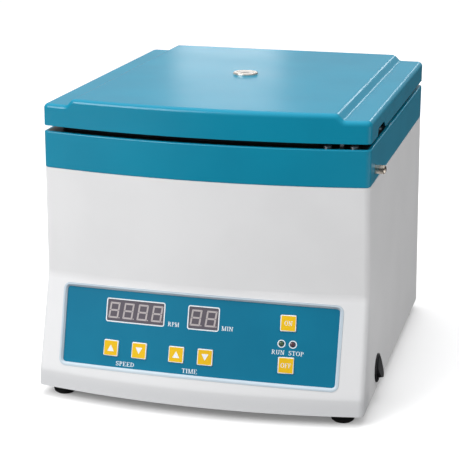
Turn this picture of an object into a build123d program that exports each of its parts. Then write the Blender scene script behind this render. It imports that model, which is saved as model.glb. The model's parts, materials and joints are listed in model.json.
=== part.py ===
"""Bench cytocentrifuge: bowed case, sloping control panel, hinged lid, swing-out slide carriers.

Sizes are in millimetres, +Z is up and the feet stand on Z = 0.  Everything is laid out from the
spin axis of the rotor: local x runs to the right, local y to the back.  The origin of the part is
the middle of its footprint.
"""

from build123d import *
from math import asin, atan2, cos, degrees, radians, sin, sqrt
import os

os.makedirs("parts", exist_ok=True)

# --------------------------------------------------------------------------- driving dimensions

# case
case_width = 280.0
case_depth = 310.0           # front corner to back
front_bow = 15.0             # how far the middle of the front stands out past its corners
spin_to_back = 152.0
side_flare = 3.4             # each side, from the collar down to the bottom edge
body_corner = 5.5
wall = 3.0
seat_gap = 0.2               # between pieces that are laid into each other
tolerance = 0.01             # when an edge is picked by its height
crease_radius = 22.0         # hollow bend above the panel
sill_radius = 12.0           # bend below the panel

# heights, from the bench up
foot_height = 9.5
sill_height = 14.2
panel_rise = 81.6
brow_height = 95.2
collar_height = 31.3
lid_gap = 4.9
lid_edge_height = 18.6
lid_crown = 5.6

# how far the front stands out at each bend, measured from the collar's front
toe_reach = 19.0
sill_reach = 17.6
brow_recess = 3.9

# base and feet
base_thickness = 2.0
foot_radius = 11.6
foot_tip_radius = 9.3
foot_edge = 1.5
front_foot_side_inset = 16.0
rear_foot_side_inset = 9.0
front_foot_inset = 14.0      # behind the toe's corner
rear_foot_inset = 35.0
post_radius = 6.0
post_height = 28.0
vent_count = 11
vent_pitch = 8.0
vent_width = 3.2
vent_length = 30.0

# fasteners
screw_radius = 2.0
screw_fit = 0.05
screw_head_radius = 3.6
screw_head_height = 2.2
screw_head_edge = 0.7
screw_length = 16.0
screw_slot = 0.9
screw_recess_gap = 0.6       # round a head that is sunk in a foot
collar_screw_inset = 8.0
collar_screw_depths = (-75.0, 75.0)
latch_screw_side_insets = (35.5, 14.4)
latch_screw_inset = 8.0
lid_screw_inset = 8.0
lid_screw_depths = (-20.0, 90.0)

# panel
panel_side_margin = 17.0
panel_foot_margin = 9.2      # up the flat face, from the sill
panel_head_margin = 3.0
panel_shift = -1.0           # its middle stands this far right of the case's
panel_corner = 6.0
bezel_rim = 3.2
bezel_proud = 0.3
bezel_flange = 3.0
bezel_bevel = 1.6
flange_thickness = 1.6
overlay_thickness = 1.2
board_depth = 18.0           # from the panel's face to the board, at the middle
board_thickness = 1.6
board_margin = (10.0, 2.1)   # inside the panel's outline
board_corner = 3.0
board_post_inset = (7.0, 3.0)
board_post_radius = 3.0
key_switch = (6.0, 6.0, 3.5)
key_switch_stem = 2.5
chip_pitch = (44.0, 22.0)
chip_rows = (4, 2)
chip_size = (18.0, 8.0, 3.0)
relay_size = (20.0, 16.0, 14.0)
relay_inset = 18.0           # from the board's right edge

window_height = 18.4
window_corner = 1.0
window_drop = 20.2           # windows' middle line, below the panel's top edge
speed_window = (-55.8, 51.5)           # x, width
time_window = (5.0, 25.6)
key_size = (13.4, 13.8)
key_corner = 1.0
key_edge = 0.5
key_gap = 0.3
key_proud = 1.0
key_travel = 0.4
key_flange = 1.2
key_flange_reach = 1.0
key_switch_gap = 0.5         # a pressed key's flange to the switch behind it
key_row_rise = 19.5          # keys' middle line, above the panel's bottom edge
key_row = {"speed_up_key": -75.9, "speed_down_key": -50.0, "time_up_key": -16.6, "time_down_key": 8.7}
on_key_place = (77.2, 18.2)  # x, and distance below the panel's top edge
off_key_place = (77.5, 18.8)           # x, and distance above its bottom edge
lamp_radius = 2.2
lamp_proud = 1.0             # above the overlay
lamp_foot_depth = 5.0        # behind the wall
lamp_dome = 1.5
lamp_flange = 0.6
lamp_x = (72.5, 82.0)
lamp_rise = 0.2              # above the middle between the ON and OFF keys
stem_gap = 0.5

# power switch on the right side
switch_from_front = 51.0
switch_height = 28.0
switch_barrel_radius = 11.2
switch_wall = 0.8
switch_flange_reach = 1.5    # past the barrel
switch_depth = 14.0
switch_rim = 1.5
switch_edge = 0.9
switch_floor = 1.5
rocker_gap = 1.1             # round it in the switch's mouth
rocker_throw = 24.0          # degrees from one side pressed to the other
rocker_pin_radius = 1.6
rocker_pin_seat = 0.4        # how far its pins reach into the barrel
rocker_skirt = 3.0
rocker_keel = 5.5
rocker_rise = 3.4            # middle of the rocker above the wall
rocker_dish = 0.9            # how much its ends stand above its middle
rocker_pivot_depth = 2.0

# mains inlet on the back
inlet_place = (70.0, 42.0)   # x and height
inlet_flange = (50.0, 27.0)
inlet_flange_corner = 5.0
inlet_edge = 0.8
inlet_screw_pitch = 40.0
inlet_screw_radius = 1.7
inlet_body = (30.0, 23.0)
inlet_wall = (2.7, 3.1)      # left and right of the socket, above and below it
inlet_depth = 22.0
socket_depth = 16.0
inlet_pin_size = (2.0, 4.0)
inlet_pin_length = 13.0
inlet_pin_spread = 7.0
inlet_pin_rise = 2.0         # the middle pin above the inlet's centre, the others below it
inlet_pin_tip = 0.5
flange_sheet = 2.0
socket_chamfer = 4.0

# collar
collar_wall = 5.2
collar_deck = 3.0
collar_lip = 4.0
collar_edge = 1.2
boss_radius = 5.0
boss_floor = 0.4             # below a screw's tip
seam_height = 0.7            # shadow gap where the collar sits on the body
seam_depth = 0.8

# chamber
bowl_margin = 26.5           # from the case's nearest wall to the chamber
bowl_sheet = 1.5
floor_gap = 2.0              # motor's boss to the bowl
bowl_bend = 14.0
bowl_flange = 6.0
floor_hole = 16.0
shaft_seal_lip = 2.0
shaft_seal_reach = 5.0       # inward from the floor hole's edge
guard_gap = 3.0              # round the bowl
guard_thickness = 3.0
guard_height = 86.0
seal_clearance = 0.3
bowl_seal_width = 3.6
edge_seal_gap = 1.0          # to the bowl's flange
edge_seal_width = 5.0
seal_edge = 1.0
seal_break_gap = 2.0         # round the catch, where the edge seal stops short

# lid
shelf_width = 28.0           # from the side in to the crown
lid_edge = 4.2
crown_edge = 6.0             # bend from the crown down its side slope
crown_foot = 4.0             # bend from the slope out to the shelf
liner_thickness = 2.0
liner_dome_inset = 5.5       # from the bowl's wall
liner_dome_height = 8.0
notch_front = 34.0           # finger notch in the right skirt, from the front corner back
notch_back = 75.0
notch_height = 6.2
notch_lean = 9.0
notch_front_lean = 2.0
notch_reach = 11.0
lid_boss_radius = 4.0
sight_place = (-3.0, -1.5)   # from the spin axis
sight_tube = 9.4
sight_flange = 2.0           # past the tube
sight_rise = 2.0
sight_wall = 1.2
sight_glass_gap = 0.1
sight_edge = 1.2
sight_glass_edge = 1.4
sight_glass_sink = 0.3       # below the ring's face

# hinges
hinge_spread = 85.0
hinge_width = 46.0
hinge_barrel = 5.5
hinge_pin_radius = 2.5
hinge_leaf = 2.0
hinge_standoff = 6.5
hinge_play = 0.4
hinge_fit = 0.05
hinge_leaf_gap = 0.7         # between a leaf's edge and the other side's barrels
hinge_pin_head = (3.7, 1.5)  # radius, thickness
hinge_web_angle = radians(20)
hinge_web = 2.2              # how far the web runs up its leaf, in leaf clearances
hinge_skin = 0.2             # webs start this far off the case

# lid lock on the right of the collar
lock_from_front = 25.4
lock_drop = 20.9             # its axis, below the collar's top
lock_radius = 3.75
lock_fit = 0.05
lock_proud = 9.0
lock_length = 30.0
lock_bush_wall = 1.75
lock_bush_length = 10.0
lock_hole_gap = 0.3          # round the bolt in the collar's outer skin
lock_skin = 1.6              # of the collar, outside the bush
lock_nut = (2.4, 3.0)        # its corners past the bush, thickness
lock_tip_chamfer = 0.6
lock_end_round = 2.25
lock_groove = (3.2, 0.5, 0.3)          # distance from its end, width, depth
lock_shoulder_thickness = 1.8
lock_shoulder_reach = 1.45   # past the bolt
catch_thickness = 3.0
catch_length = 30.0
catch_ahead = 21.0           # part of it in front of the bolt
catch_below = 7.0            # and below the bolt's axis
catch_corner = 5.0
catch_window_gap = 0.8       # round the bolt
catch_leaf = 12.0            # width of its leaf under the lid
catch_play = (1.2, 3.0)      # round it in the collar's slot
catch_gap = 2.0              # between the catch and the bolt's tip, bolt drawn

# rotor
shaft_radius = 5.0
shaft_fit = 0.03
rotor_gap = 7.5              # to the bowl's wall
rotor_plate = 3.0
rotor_floor_gap = 8.0        # bowl floor to the underside of the rotor
rotor_rim = 9.0
rotor_rim_wall = 3.0
hub_radius = 18.0
hub_height = 24.0
hub_foot = 8.0               # slope from the plate up to the hub
hub_edge = 1.5
rotor_rim_slope = 2.0
lightening_hole_radius = 9.0
lightening_hole_inset = 18.0           # inward from the carriers' pivots
nut_radius = 11.0
nut_height = 14.0
nut_cap = 2.8                # closed top of the nut
nut_cap_step = 2.0
nut_edge = 1.2
nut_grips = 12
nut_grip_radius = 2.0
nut_grip_offset = 1.2
shaft_tip = 1.0
shaft_stand_down = 4.2       # shaft's end below the nut's top
carrier_count = 6
carrier_inset = 22.0         # pivots, from the rotor's edge
pivot_height = 17.0          # above the rotor's plate
pivot_radius = 2.45
pivot_fit = 0.05
carrier_lean = 12.0          # degrees inward at rest
ear_thickness = 3.0
ear_width = 13.0
ear_gap = 0.5
ear_flare = 4.0              # each side, down at the plate
clip_half_width = 17.0
clip_sheet = 1.5
clip_floor_gap = 3.5         # its foot above the rotor's plate
clip_height = 64.0
clip_flange_height = 50.0
clip_offset = 4.0
clip_flange_reach = 8.0
clip_corner = 2.0
clip_window = (18.0, 34.0)
clip_window_corner = 4.0
clip_window_rise = 16.0
wire_width = 2.0
wire_thickness = 1.2
trunnion_end = 0.5           # past the ear
funnel_side_gap = 2.0
funnel_corner = 3.0
funnel_thickness = 2.4
funnel_face = -0.4           # its inner face, from the pivot
funnel_top = 52.0
funnel_foot_gap = 3.5        # its foot above the clip's
well_radius = 7.0
well_wall = 1.7
well_foot_edge = 2.3
well_offset = 14.0
well_base = 8.0
well_floor = 2.0
well_top = 42.0
port_radius = 4.0
port_wall = 1.0
port_height = 14.0

# drive motor
motor_radius = 42.0
motor_height = 76.0
motor_wall = 3.5
motor_boss_wall = 4.0
motor_boss_height = 7.0
motor_boss_lip = 2.0
motor_rib_count = 24
motor_rib = (3.0, 4.0)
shaft_clearance = 2.0
bearing_radius = 13.0
bearing_width = 8.0
bearing_race = 2.5           # thickness of each race
bearing_groove = 0.6
stator_length = 44.0
stator_depth = 12.5          # from its bore to its outer face
stator_slots = 12
stator_slot = (5.0, 4.0)
armature_gap = 1.0
armature_slots = 8
armature_slot = (3.0, 2.0)
isolator_radius = 10.0
isolator_height = 16.0
isolator_count = 3
isolator_edge = 1.2
isolator_distance = 68.0     # from the motor's axis
bracket_thickness = 4.0
bracket_pad_radius = 14.0
bracket_edge = 1.0
transformer_core = (60.0, 24.0, 48.0)
transformer_coil = (34.0, 44.0, 34.0)
transformer_inset = (72.0, 38.0)       # from the left side and the back
transformer_foot = (78.0, 32.0)
transformer_foot_corner = 4.0
transformer_coil_corner = 6.0

# --------------------------------------------------------------------------- derived levels

back_y = spin_to_back
front_y = back_y - case_depth
half_width = case_width / 2
front_radius = (half_width**2 + front_bow**2) / (2 * front_bow)
bow_centre_y = front_y - front_bow + front_radius

body_bottom = foot_height
sill_z = body_bottom + sill_height
brow_z = sill_z + panel_rise
body_top = brow_z + brow_height
collar_top = body_top + collar_height
lid_bottom = collar_top + lid_gap
shelf_top = lid_bottom + lid_edge_height
lid_top = shelf_top + lid_crown
base_top = body_bottom + base_thickness
side_lean = atan2(side_flare, body_top - body_bottom)
crown_half_width = half_width - shelf_width
boss_length = screw_length - collar_deck + boss_floor

# panel: heights run up its flat face from the sill
panel_lean = atan2(sill_reach + brow_recess, panel_rise)
panel_head = panel_rise / cos(panel_lean) - panel_head_margin
panel_width = case_width - 2 * panel_side_margin
panel_height = panel_head - panel_foot_margin
panel_centre = (panel_shift, panel_foot_margin + panel_height / 2)
window_up = panel_head - window_drop
on_up = panel_head - on_key_place[1]
off_up = panel_foot_margin + off_key_place[1]
key_spots = {name: (x, panel_foot_margin + key_row_rise) for name, x in key_row.items()}
key_spots["on_key"] = (on_key_place[0], on_up)
key_spots["off_key"] = (off_key_place[0], off_up)
lamp_up = (on_up + off_up) / 2 + lamp_rise
lamp_spots = {"run_lamp": (lamp_x[0], lamp_up), "stop_lamp": (lamp_x[1], lamp_up)}
board_size = (panel_width - 2 * board_margin[0], panel_height - 2 * board_margin[1])
relay_x = board_size[0] / 2 - relay_inset

# switch and inlet
switch_flange_radius = switch_barrel_radius + switch_flange_reach
switch_mouth_radius = switch_barrel_radius - switch_wall
rocker_radius = switch_mouth_radius - rocker_gap
rocker_pin_reach = switch_mouth_radius + rocker_pin_seat
inlet_socket = (inlet_body[0] - 2 * inlet_wall[0], inlet_body[1] - 2 * inlet_wall[1])
socket_floor = back_y + flange_sheet - socket_depth

# motor, from the base up to the chamber's floor
bracket_bottom = base_top + isolator_height
motor_bottom = bracket_bottom + bracket_thickness
motor_top = motor_bottom + motor_height
boss_top = motor_top + motor_boss_height
stator_middle = motor_bottom + motor_height / 2
motor_boss_radius = bearing_radius + motor_boss_wall
stator_bore = motor_radius - motor_wall - stator_depth
bowl_floor = boss_top + floor_gap + bowl_sheet

# chamber and its seals
nearest_wall = min(half_width, back_y, -front_y)
bowl_radius = nearest_wall - bowl_margin
flange_radius = bowl_radius + bowl_sheet + bowl_flange
guard_radius = bowl_radius + bowl_sheet + guard_gap
edge_seal_inset = nearest_wall - flange_radius - edge_seal_gap - edge_seal_width
liner_top = lid_bottom + liner_thickness
dome_top = liner_top + liner_dome_height
liner_dome_radius = bowl_radius - liner_dome_inset
sight_radius = sight_tube + sight_flange
sight_bore = sight_tube - sight_wall
sight_glass_radius = sight_bore - sight_glass_gap

# hinges and lock
hinge_y = back_y + hinge_standoff
hinge_z = collar_top + lid_gap / 2
lock_y = front_y + lock_from_front
lock_height = collar_top - lock_drop
lock_bush_radius = lock_radius + lock_bush_wall
lock_shoulder = lock_radius + lock_shoulder_reach
bolt_tip = half_width + lock_proud - lock_length
catch_x = bolt_tip - catch_gap - catch_thickness
catch_window = 2 * (lock_radius + catch_window_gap)

# rotor and carriers
rotor_radius = bowl_radius - rotor_gap
rotor_bottom = bowl_floor + rotor_floor_gap
rotor_top = rotor_bottom + rotor_plate
hub_top = rotor_bottom + hub_height
carrier_radius = rotor_radius - carrier_inset
pivot_z = rotor_top + pivot_height
carrier_angles = [index * 360 / carrier_count for index in range(carrier_count)]
ear_inner = clip_half_width + ear_gap
ear_foot = -pivot_height - rotor_plate / 2
clip_drop = pivot_height - clip_floor_gap
funnel_width = 2 * (clip_half_width - clip_sheet - funnel_side_gap)
funnel_drop = clip_drop - funnel_foot_gap
well_bore = well_radius - well_wall
port_bore = port_radius - port_wall

# the origin is the middle of the footprint, so the spin axis stands a little off it
left_reach = half_width + side_flare
right_reach = half_width + lock_proud
front_reach = front_bow + toe_reach - front_y
back_reach = hinge_y + hinge_barrel
spin_x = (left_reach - right_reach) / 2
spin_y = (front_reach - back_reach) / 2
spin_axis = Axis((spin_x, spin_y, 0), (0, 0, 1))


# --------------------------------------------------------------------------- planes and outlines

def level(height):
    """Horizontal plane at a height, centred on the spin axis."""
    return Plane(origin=(spin_x, spin_y, height))


def across(y):
    """Upright plane across the case at depth y; it faces the front."""
    return Plane(origin=(spin_x, spin_y + y, 0), x_dir=(1, 0, 0), z_dir=(0, -1, 0))


def beside(x):
    """Upright plane along the case at x; local x runs to the back, and it faces right."""
    return Plane(origin=(spin_x + x, spin_y, 0), x_dir=(0, 1, 0), z_dir=(1, 0, 0))


def radial(angle):
    """Upright half plane through the spin axis: local x runs outward, local y up."""
    outward = (cos(radians(angle)), sin(radians(angle)), 0)
    facing = (sin(radians(angle)), -cos(radians(angle)), 0)
    return Plane(origin=(spin_x, spin_y, 0), x_dir=outward, z_dir=facing)


def front_edge(x, inset=0):
    """Depth of the bowed front at x."""
    return bow_centre_y - sqrt((front_radius - inset)**2 - x**2)


def case_outline(inset, corner):
    """Outline of the case from above, drawn in by inset: straight back and sides, bowed front."""
    half = half_width - inset
    corner_y = front_edge(half, inset)
    with BuildSketch() as outline:
        with BuildLine():
            ThreePointArc((-half, corner_y), (0, front_edge(0, inset)), (half, corner_y))
            Polyline((half, corner_y), (half, back_y - inset), (-half, back_y - inset), (-half, corner_y))
        make_face()
        fillet(outline.vertices(), corner)
    return outline.sketch


def body_block(inset, corner):
    """Solid inside the body's outer face, drawn in by inset.

    The sides lean out to the bottom, and the front is one profile turned about the far centre
    of the bow, so its panel zone is a piece of a cone.
    """
    front_plane = Plane(origin=(spin_x, spin_y + bow_centre_y, 0), x_dir=(0, -1, 0), z_dir=(-1, 0, 0))
    bow_axis = Axis((spin_x, spin_y + bow_centre_y, 0), (0, 0, 1))
    radius = front_radius - inset
    with BuildPart() as block:
        for height, half in ((body_bottom, half_width + side_flare), (body_top, half_width)):
            with BuildSketch(level(height)):
                with Locations((0, (back_y - inset + 2 * front_y) / 2)):
                    Rectangle(2 * (half - inset), back_y - inset - 2 * front_y)
        loft(ruled=True)
        with BuildSketch(front_plane) as profile:
            with BuildLine():
                Polyline(
                    (0, body_bottom), (radius + toe_reach, body_bottom), (radius + sill_reach, sill_z),
                    (radius - brow_recess, brow_z), (radius, body_top), (0, body_top), close=True,
                )
            make_face()
            fillet(profile.vertices().sort_by_distance((radius - brow_recess, brow_z))[0], crease_radius)
            fillet(profile.vertices().sort_by_distance((radius + sill_reach, sill_z))[0], sill_radius)
        revolve(axis=bow_axis, mode=Mode.INTERSECT)
        upright = block.edges().filter_by(lambda edge: abs((edge % 0.5).Z) > 0.9)
        fillet(upright.filter_by(lambda edge: edge.center().Y > spin_y), corner)
        upright = block.edges().filter_by(lambda edge: abs((edge % 0.5).Z) > 0.9)
        at_front = upright.filter_by(lambda edge: edge.center().Y < spin_y)
        fillet(at_front.filter_by(lambda edge: abs(edge.center().X - spin_x) > half_width / 2), corner)
    return block.part


def panel_spot(x, up, depth=0.0):
    """Plane on the panel's face, depth below the surface; local z stands out of the panel.

    The panel is laid out flat, x to the right and up from the sill, and pressed onto the cone, so
    a row at one value of up sinks a little towards the sides.
    """
    sag = front_radius - sqrt(front_radius**2 - x**2)
    slope = up - sag * sin(panel_lean)
    height = sill_z + slope * cos(panel_lean)
    radius = front_radius + sill_reach - slope * sin(panel_lean)
    turn = asin(x / radius)
    out_x, out_y = sin(turn), -cos(turn)
    normal = Vector(out_x * cos(panel_lean), out_y * cos(panel_lean), sin(panel_lean))
    surface = Vector(spin_x + radius * out_x, spin_y + bow_centre_y + radius * out_y, height)
    return Plane(origin=surface - normal * depth, x_dir=(cos(turn), sin(turn), 0), z_dir=normal)


def panel_shell(outer, inner):
    """Curved plate between two depths below the body's front face."""
    with BuildPart() as shell:
        add(body_block(outer, body_corner))
        add(body_block(inner, body_corner), mode=Mode.SUBTRACT)
    return shell.part


def panel_prism(margin):
    """Block through the panel's outline, grown by margin."""
    corner = max(panel_corner + margin, panel_corner / 3)
    with BuildPart() as prism:
        with BuildSketch(panel_spot(*panel_centre)):
            RectangleRounded(panel_width + 2 * margin, panel_height + 2 * margin, corner)
        extrude(amount=3 * front_bow, both=True)
    return prism.part


def carrier_plane(angle, offset=0.0, lean=carrier_lean):
    """Plane of a slide carrier: local x is tangential, local y runs up it, and it faces outward.

    Its origin is on the carrier's pivot, moved outward by offset.
    """
    out = Vector(cos(radians(angle)), sin(radians(angle)), 0)
    facing = out * cos(radians(lean)) + Vector(0, 0, sin(radians(lean)))
    pivot = Vector(spin_x, spin_y, pivot_z) + out * carrier_radius
    return Plane(origin=pivot + facing * offset, x_dir=(-out.Y, out.X, 0), z_dir=facing)


# places that several pieces share

right_foot_places = [
    (half_width - front_foot_side_inset, front_y - toe_reach + front_foot_inset),
    (half_width - rear_foot_side_inset, back_y - rear_foot_inset),
]
foot_places = [(side * x, y) for side in (-1, 1) for x, y in right_foot_places]


def rim_places(inset, depths):
    """Screw places round a rim: one at each depth on both sides, and two along the back."""
    right = [(half_width - inset, y) for y in depths] + [(half_width / 2, back_y - inset)]
    return [(side * x, y) for side in (-1, 1) for x, y in right]


collar_screw_places = rim_places(collar_screw_inset, collar_screw_depths)
latch_screw_x = [half_width - inset for inset in latch_screw_side_insets]
latch_screw_places = [(x, front_edge(x) + latch_screw_inset) for x in latch_screw_x]
lid_screw_places = rim_places(lid_screw_inset, lid_screw_depths)
transformer_place = (transformer_inset[0] - half_width, back_y - transformer_inset[1])

# --------------------------------------------------------------------------- body shell and base

outer_body = body_block(0, body_corner)
inner_body = body_block(wall, body_corner - wall)
switch_origin = (
    spin_x + half_width + side_flare * (body_top - switch_height) / (body_top - body_bottom),
    spin_y + front_y + switch_from_front,
    switch_height,
)
switch_plane = Plane(origin=switch_origin, x_dir=(0, 1, 0), z_dir=(cos(side_lean), 0, sin(side_lean)))

with BuildPart() as body_shell:
    add(outer_body)
    add(inner_body, mode=Mode.SUBTRACT)
    add(panel_prism(seat_gap / 2), mode=Mode.SUBTRACT)
    # screw posts in the four corners, each with a rib to the side wall
    with BuildSketch(level(base_top)):
        for x, y in foot_places:
            side = 1 if x > 0 else -1
            reach = half_width + side_flare - wall / 2 - abs(x)
            with Locations((x, y)):
                Circle(post_radius)
            with Locations((x + side * reach / 2, y)):
                Rectangle(reach, wall)
    extrude(amount=post_height)
    with BuildSketch(level(base_top)):
        with Locations(*foot_places):
            Circle(screw_radius + screw_fit)
    extrude(amount=screw_length, mode=Mode.SUBTRACT)
    # power switch, mains inlet and cooling slots
    with BuildSketch(switch_plane):
        Circle(switch_barrel_radius + seat_gap / 2)
    extrude(amount=2 * wall, both=True, mode=Mode.SUBTRACT)
    with BuildSketch(across(back_y)):
        with Locations(inlet_place):
            Rectangle(inlet_body[0] + seat_gap, inlet_body[1] + seat_gap)
        with Locations((-inlet_place[0] / 2, inlet_place[1])):
            with GridLocations(vent_pitch, 1, vent_count, 1):
                SlotOverall(vent_length, vent_width, rotation=90)
    extrude(amount=2 * wall, both=True, mode=Mode.SUBTRACT)

body_shell.part.label = "body_shell"
export_step(body_shell.part, "parts/body_shell.step")

with BuildPart() as base_plate:
    add(body_block(wall + seat_gap, body_corner - wall))
    split(bisect_by=Plane.XY.offset(base_top), keep=Keep.BOTTOM)
    with BuildSketch(level(body_bottom)):
        with Locations(*foot_places):
            Circle(screw_radius + screw_fit)
        for x in (-isolator_distance / 2, isolator_distance / 2):
            with Locations((x, -isolator_distance / 4)):
                with GridLocations(1, 2 * vent_pitch, 1, 5):
                    SlotOverall(vent_length, vent_width)
    extrude(amount=base_thickness, mode=Mode.SUBTRACT)

base_plate.part.label = "base_plate"
export_step(base_plate.part, "parts/base_plate.step")

head_seat = foot_height / 2 + screw_head_height

with BuildPart() as feet:
    with BuildSketch(level(0)):
        with Locations(*foot_places):
            Circle(foot_tip_radius)
    extrude(amount=foot_height, taper=-degrees(atan2(foot_radius - foot_tip_radius, foot_height)))
    chamfer(feet.edges().group_by(Axis.Z)[0], foot_edge)
    with BuildSketch(level(0)):
        with Locations(*foot_places):
            Circle(screw_head_radius + screw_recess_gap)
    extrude(amount=head_seat, mode=Mode.SUBTRACT)
    with BuildSketch(level(0)):
        with Locations(*foot_places):
            Circle(screw_radius + screw_fit)
    extrude(amount=foot_height, mode=Mode.SUBTRACT)

feet.part.label = "feet"
export_step(feet.part, "parts/feet.step")


def screws(places, seat, up):
    """Pan-head screws whose heads bear on the level seat; up is 1 when the shanks point up."""
    with BuildPart() as group:
        with BuildSketch(level(seat)):
            with Locations(*places):
                Circle(screw_head_radius)
        extrude(amount=-up * screw_head_height)
        outer_rim = group.edges().group_by(Axis.Z)[0 if up > 0 else -1]
        chamfer(outer_rim, screw_head_edge)
        with BuildSketch(level(seat - up * screw_head_height)):
            with Locations(*places):
                Rectangle(screw_head_radius, screw_slot)
                Rectangle(screw_slot, screw_head_radius)
        extrude(amount=up * screw_head_height / 2, mode=Mode.SUBTRACT)
        with BuildSketch(level(seat)):
            with Locations(*places):
                Circle(screw_radius)
        extrude(amount=up * screw_length)
    return group.part


with BuildPart() as case_screws:
    add(screws(foot_places, head_seat, 1))
    add(screws(collar_screw_places + latch_screw_places, collar_top, -1))

case_screws.part.label = "case_screws"
export_step(case_screws.part, "parts/case_screws.step")

# --------------------------------------------------------------------------- collar and its seals

deck_bottom = collar_top - collar_deck
catch_front = lock_y - catch_ahead
catch_slot = (catch_thickness + 2 * catch_play[0], catch_length + 2 * catch_play[1])
catch_middle = (catch_x + catch_thickness / 2, catch_front + catch_length / 2)

with BuildPart() as collar:
    with BuildSketch(level(body_top)):
        add(case_outline(0, body_corner))
    extrude(amount=collar_height)
    fillet(collar.edges().group_by(Axis.Z)[-1], collar_edge)
    with BuildSketch(level(body_top)):
        add(case_outline(collar_wall, body_corner))
    extrude(amount=collar_height - collar_deck, mode=Mode.SUBTRACT)
    # locating lip that drops inside the body
    with BuildSketch(level(body_top)):
        add(case_outline(wall + seat_gap, body_corner))
        add(case_outline(collar_wall, body_corner), mode=Mode.SUBTRACT)
    extrude(amount=-collar_lip)
    # shadow gap where it sits on the body
    with BuildSketch(level(body_top)):
        add(case_outline(-seam_depth, body_corner))
        add(case_outline(seam_depth, body_corner - seam_depth), mode=Mode.SUBTRACT)
    extrude(amount=seam_height, mode=Mode.SUBTRACT)
    # screw bosses hang from the deck
    with BuildSketch(level(deck_bottom)):
        with Locations(*collar_screw_places, *latch_screw_places):
            Circle(boss_radius)
    extrude(amount=-boss_length)
    with BuildSketch(level(collar_top)):
        with Locations(*collar_screw_places, *latch_screw_places):
            Circle(screw_radius + screw_fit)
    extrude(amount=-screw_length, mode=Mode.SUBTRACT)
    with BuildSketch(level(deck_bottom)):
        Circle(bowl_radius + bowl_sheet + seat_gap)
        with Locations(catch_middle):
            Rectangle(*catch_slot)
    extrude(amount=collar_deck, mode=Mode.SUBTRACT)
    # keep the catch's way clear of the bosses beside it
    with BuildSketch(level(body_top)):
        with Locations(catch_middle):
            Rectangle(*catch_slot)
    extrude(amount=collar_height, mode=Mode.SUBTRACT)
    with BuildSketch(beside(half_width)):
        with Locations((lock_y, lock_height)):
            Circle(lock_radius + lock_hole_gap)
    extrude(amount=-2 * collar_wall, mode=Mode.SUBTRACT)
    with BuildSketch(beside(half_width - lock_skin)):
        with Locations((lock_y, lock_height)):
            Circle(lock_bush_radius + seat_gap / 2)
    extrude(amount=-2 * collar_wall, mode=Mode.SUBTRACT)

collar.part.label = "collar"
export_step(collar.part, "parts/collar.step")

with BuildPart() as bowl_seal:
    with BuildSketch(level(collar_top + bowl_sheet)):
        Circle(flange_radius - bowl_sheet)
        Circle(flange_radius - bowl_sheet - bowl_seal_width, mode=Mode.SUBTRACT)
    extrude(amount=lid_gap - bowl_sheet - seal_clearance)
    chamfer(bowl_seal.edges().group_by(Axis.Z)[-1], seal_edge)

bowl_seal.part.label = "bowl_seal"
export_step(bowl_seal.part, "parts/bowl_seal.step")

with BuildPart() as edge_seal:
    with BuildSketch(level(collar_top)):
        add(case_outline(edge_seal_inset, body_corner))
        add(case_outline(edge_seal_inset + edge_seal_width, body_corner / 2), mode=Mode.SUBTRACT)
        # it stops short of the catch and its leaf
        with Locations((catch_x + catch_thickness + catch_play[0] + seal_break_gap, catch_middle[1])):
            Rectangle(
                catch_leaf + catch_play[0] + 2 * seal_break_gap, catch_slot[1] + 2 * seal_break_gap,
                align=(Align.MAX, Align.CENTER), mode=Mode.SUBTRACT,
            )
    extrude(amount=lid_gap - seal_clearance)

edge_seal.part.label = "edge_seal"
export_step(edge_seal.part, "parts/edge_seal.step")

# --------------------------------------------------------------------------- chamber

with BuildPart() as chamber_bowl:
    with BuildSketch(radial(0)):
        with BuildLine():
            outside = FilletPolyline(
                (floor_hole, bowl_floor - bowl_sheet),
                (bowl_radius + bowl_sheet, bowl_floor - bowl_sheet),
                (bowl_radius + bowl_sheet, collar_top),
                radius=bowl_bend,
            )
            rim = Polyline(
                outside @ 1,
                (flange_radius, collar_top),
                (flange_radius, collar_top + bowl_sheet),
                (bowl_radius, collar_top + bowl_sheet),
            )
            inside = FilletPolyline(
                rim @ 1,
                (bowl_radius, bowl_floor),
                (floor_hole, bowl_floor),
                radius=bowl_bend - bowl_sheet,
            )
            Line(inside @ 1, outside @ 0)
        make_face()
    revolve(axis=spin_axis)

chamber_bowl.part.label = "chamber_bowl"
export_step(chamber_bowl.part, "parts/chamber_bowl.step")

with BuildPart() as guard_ring:
    with BuildSketch(level(deck_bottom)):
        Circle(guard_radius + guard_thickness)
        Circle(guard_radius, mode=Mode.SUBTRACT)
    extrude(amount=-guard_height)

guard_ring.part.label = "guard_ring"
export_step(guard_ring.part, "parts/guard_ring.step")

with BuildPart() as shaft_seal:
    with BuildSketch(radial(0)):
        with BuildLine():
            Polyline(
                (floor_hole - shaft_seal_reach, bowl_floor - bowl_sheet - shaft_seal_lip),
                (floor_hole + shaft_seal_lip, bowl_floor - bowl_sheet - shaft_seal_lip),
                (floor_hole + shaft_seal_lip, bowl_floor - bowl_sheet),
                (floor_hole, bowl_floor - bowl_sheet),
                (floor_hole, bowl_floor),
                (floor_hole + shaft_seal_lip, bowl_floor),
                (floor_hole + shaft_seal_lip / 2, bowl_floor + shaft_seal_lip),
                (floor_hole - shaft_seal_reach, bowl_floor + 1.5 * shaft_seal_lip),
                close=True,
            )
        make_face()
    revolve(axis=spin_axis)

shaft_seal.part.label = "shaft_seal"
export_step(shaft_seal.part, "parts/shaft_seal.step")

# --------------------------------------------------------------------------- drive motor

with BuildPart() as isolators:
    with BuildSketch(level(base_top)):
        with PolarLocations(isolator_distance, isolator_count, start_angle=90):
            Circle(isolator_radius)
    extrude(amount=isolator_height)
    chamfer(isolators.edges(), isolator_edge)

isolators.part.label = "isolators"
export_step(isolators.part, "parts/isolators.step")

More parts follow.
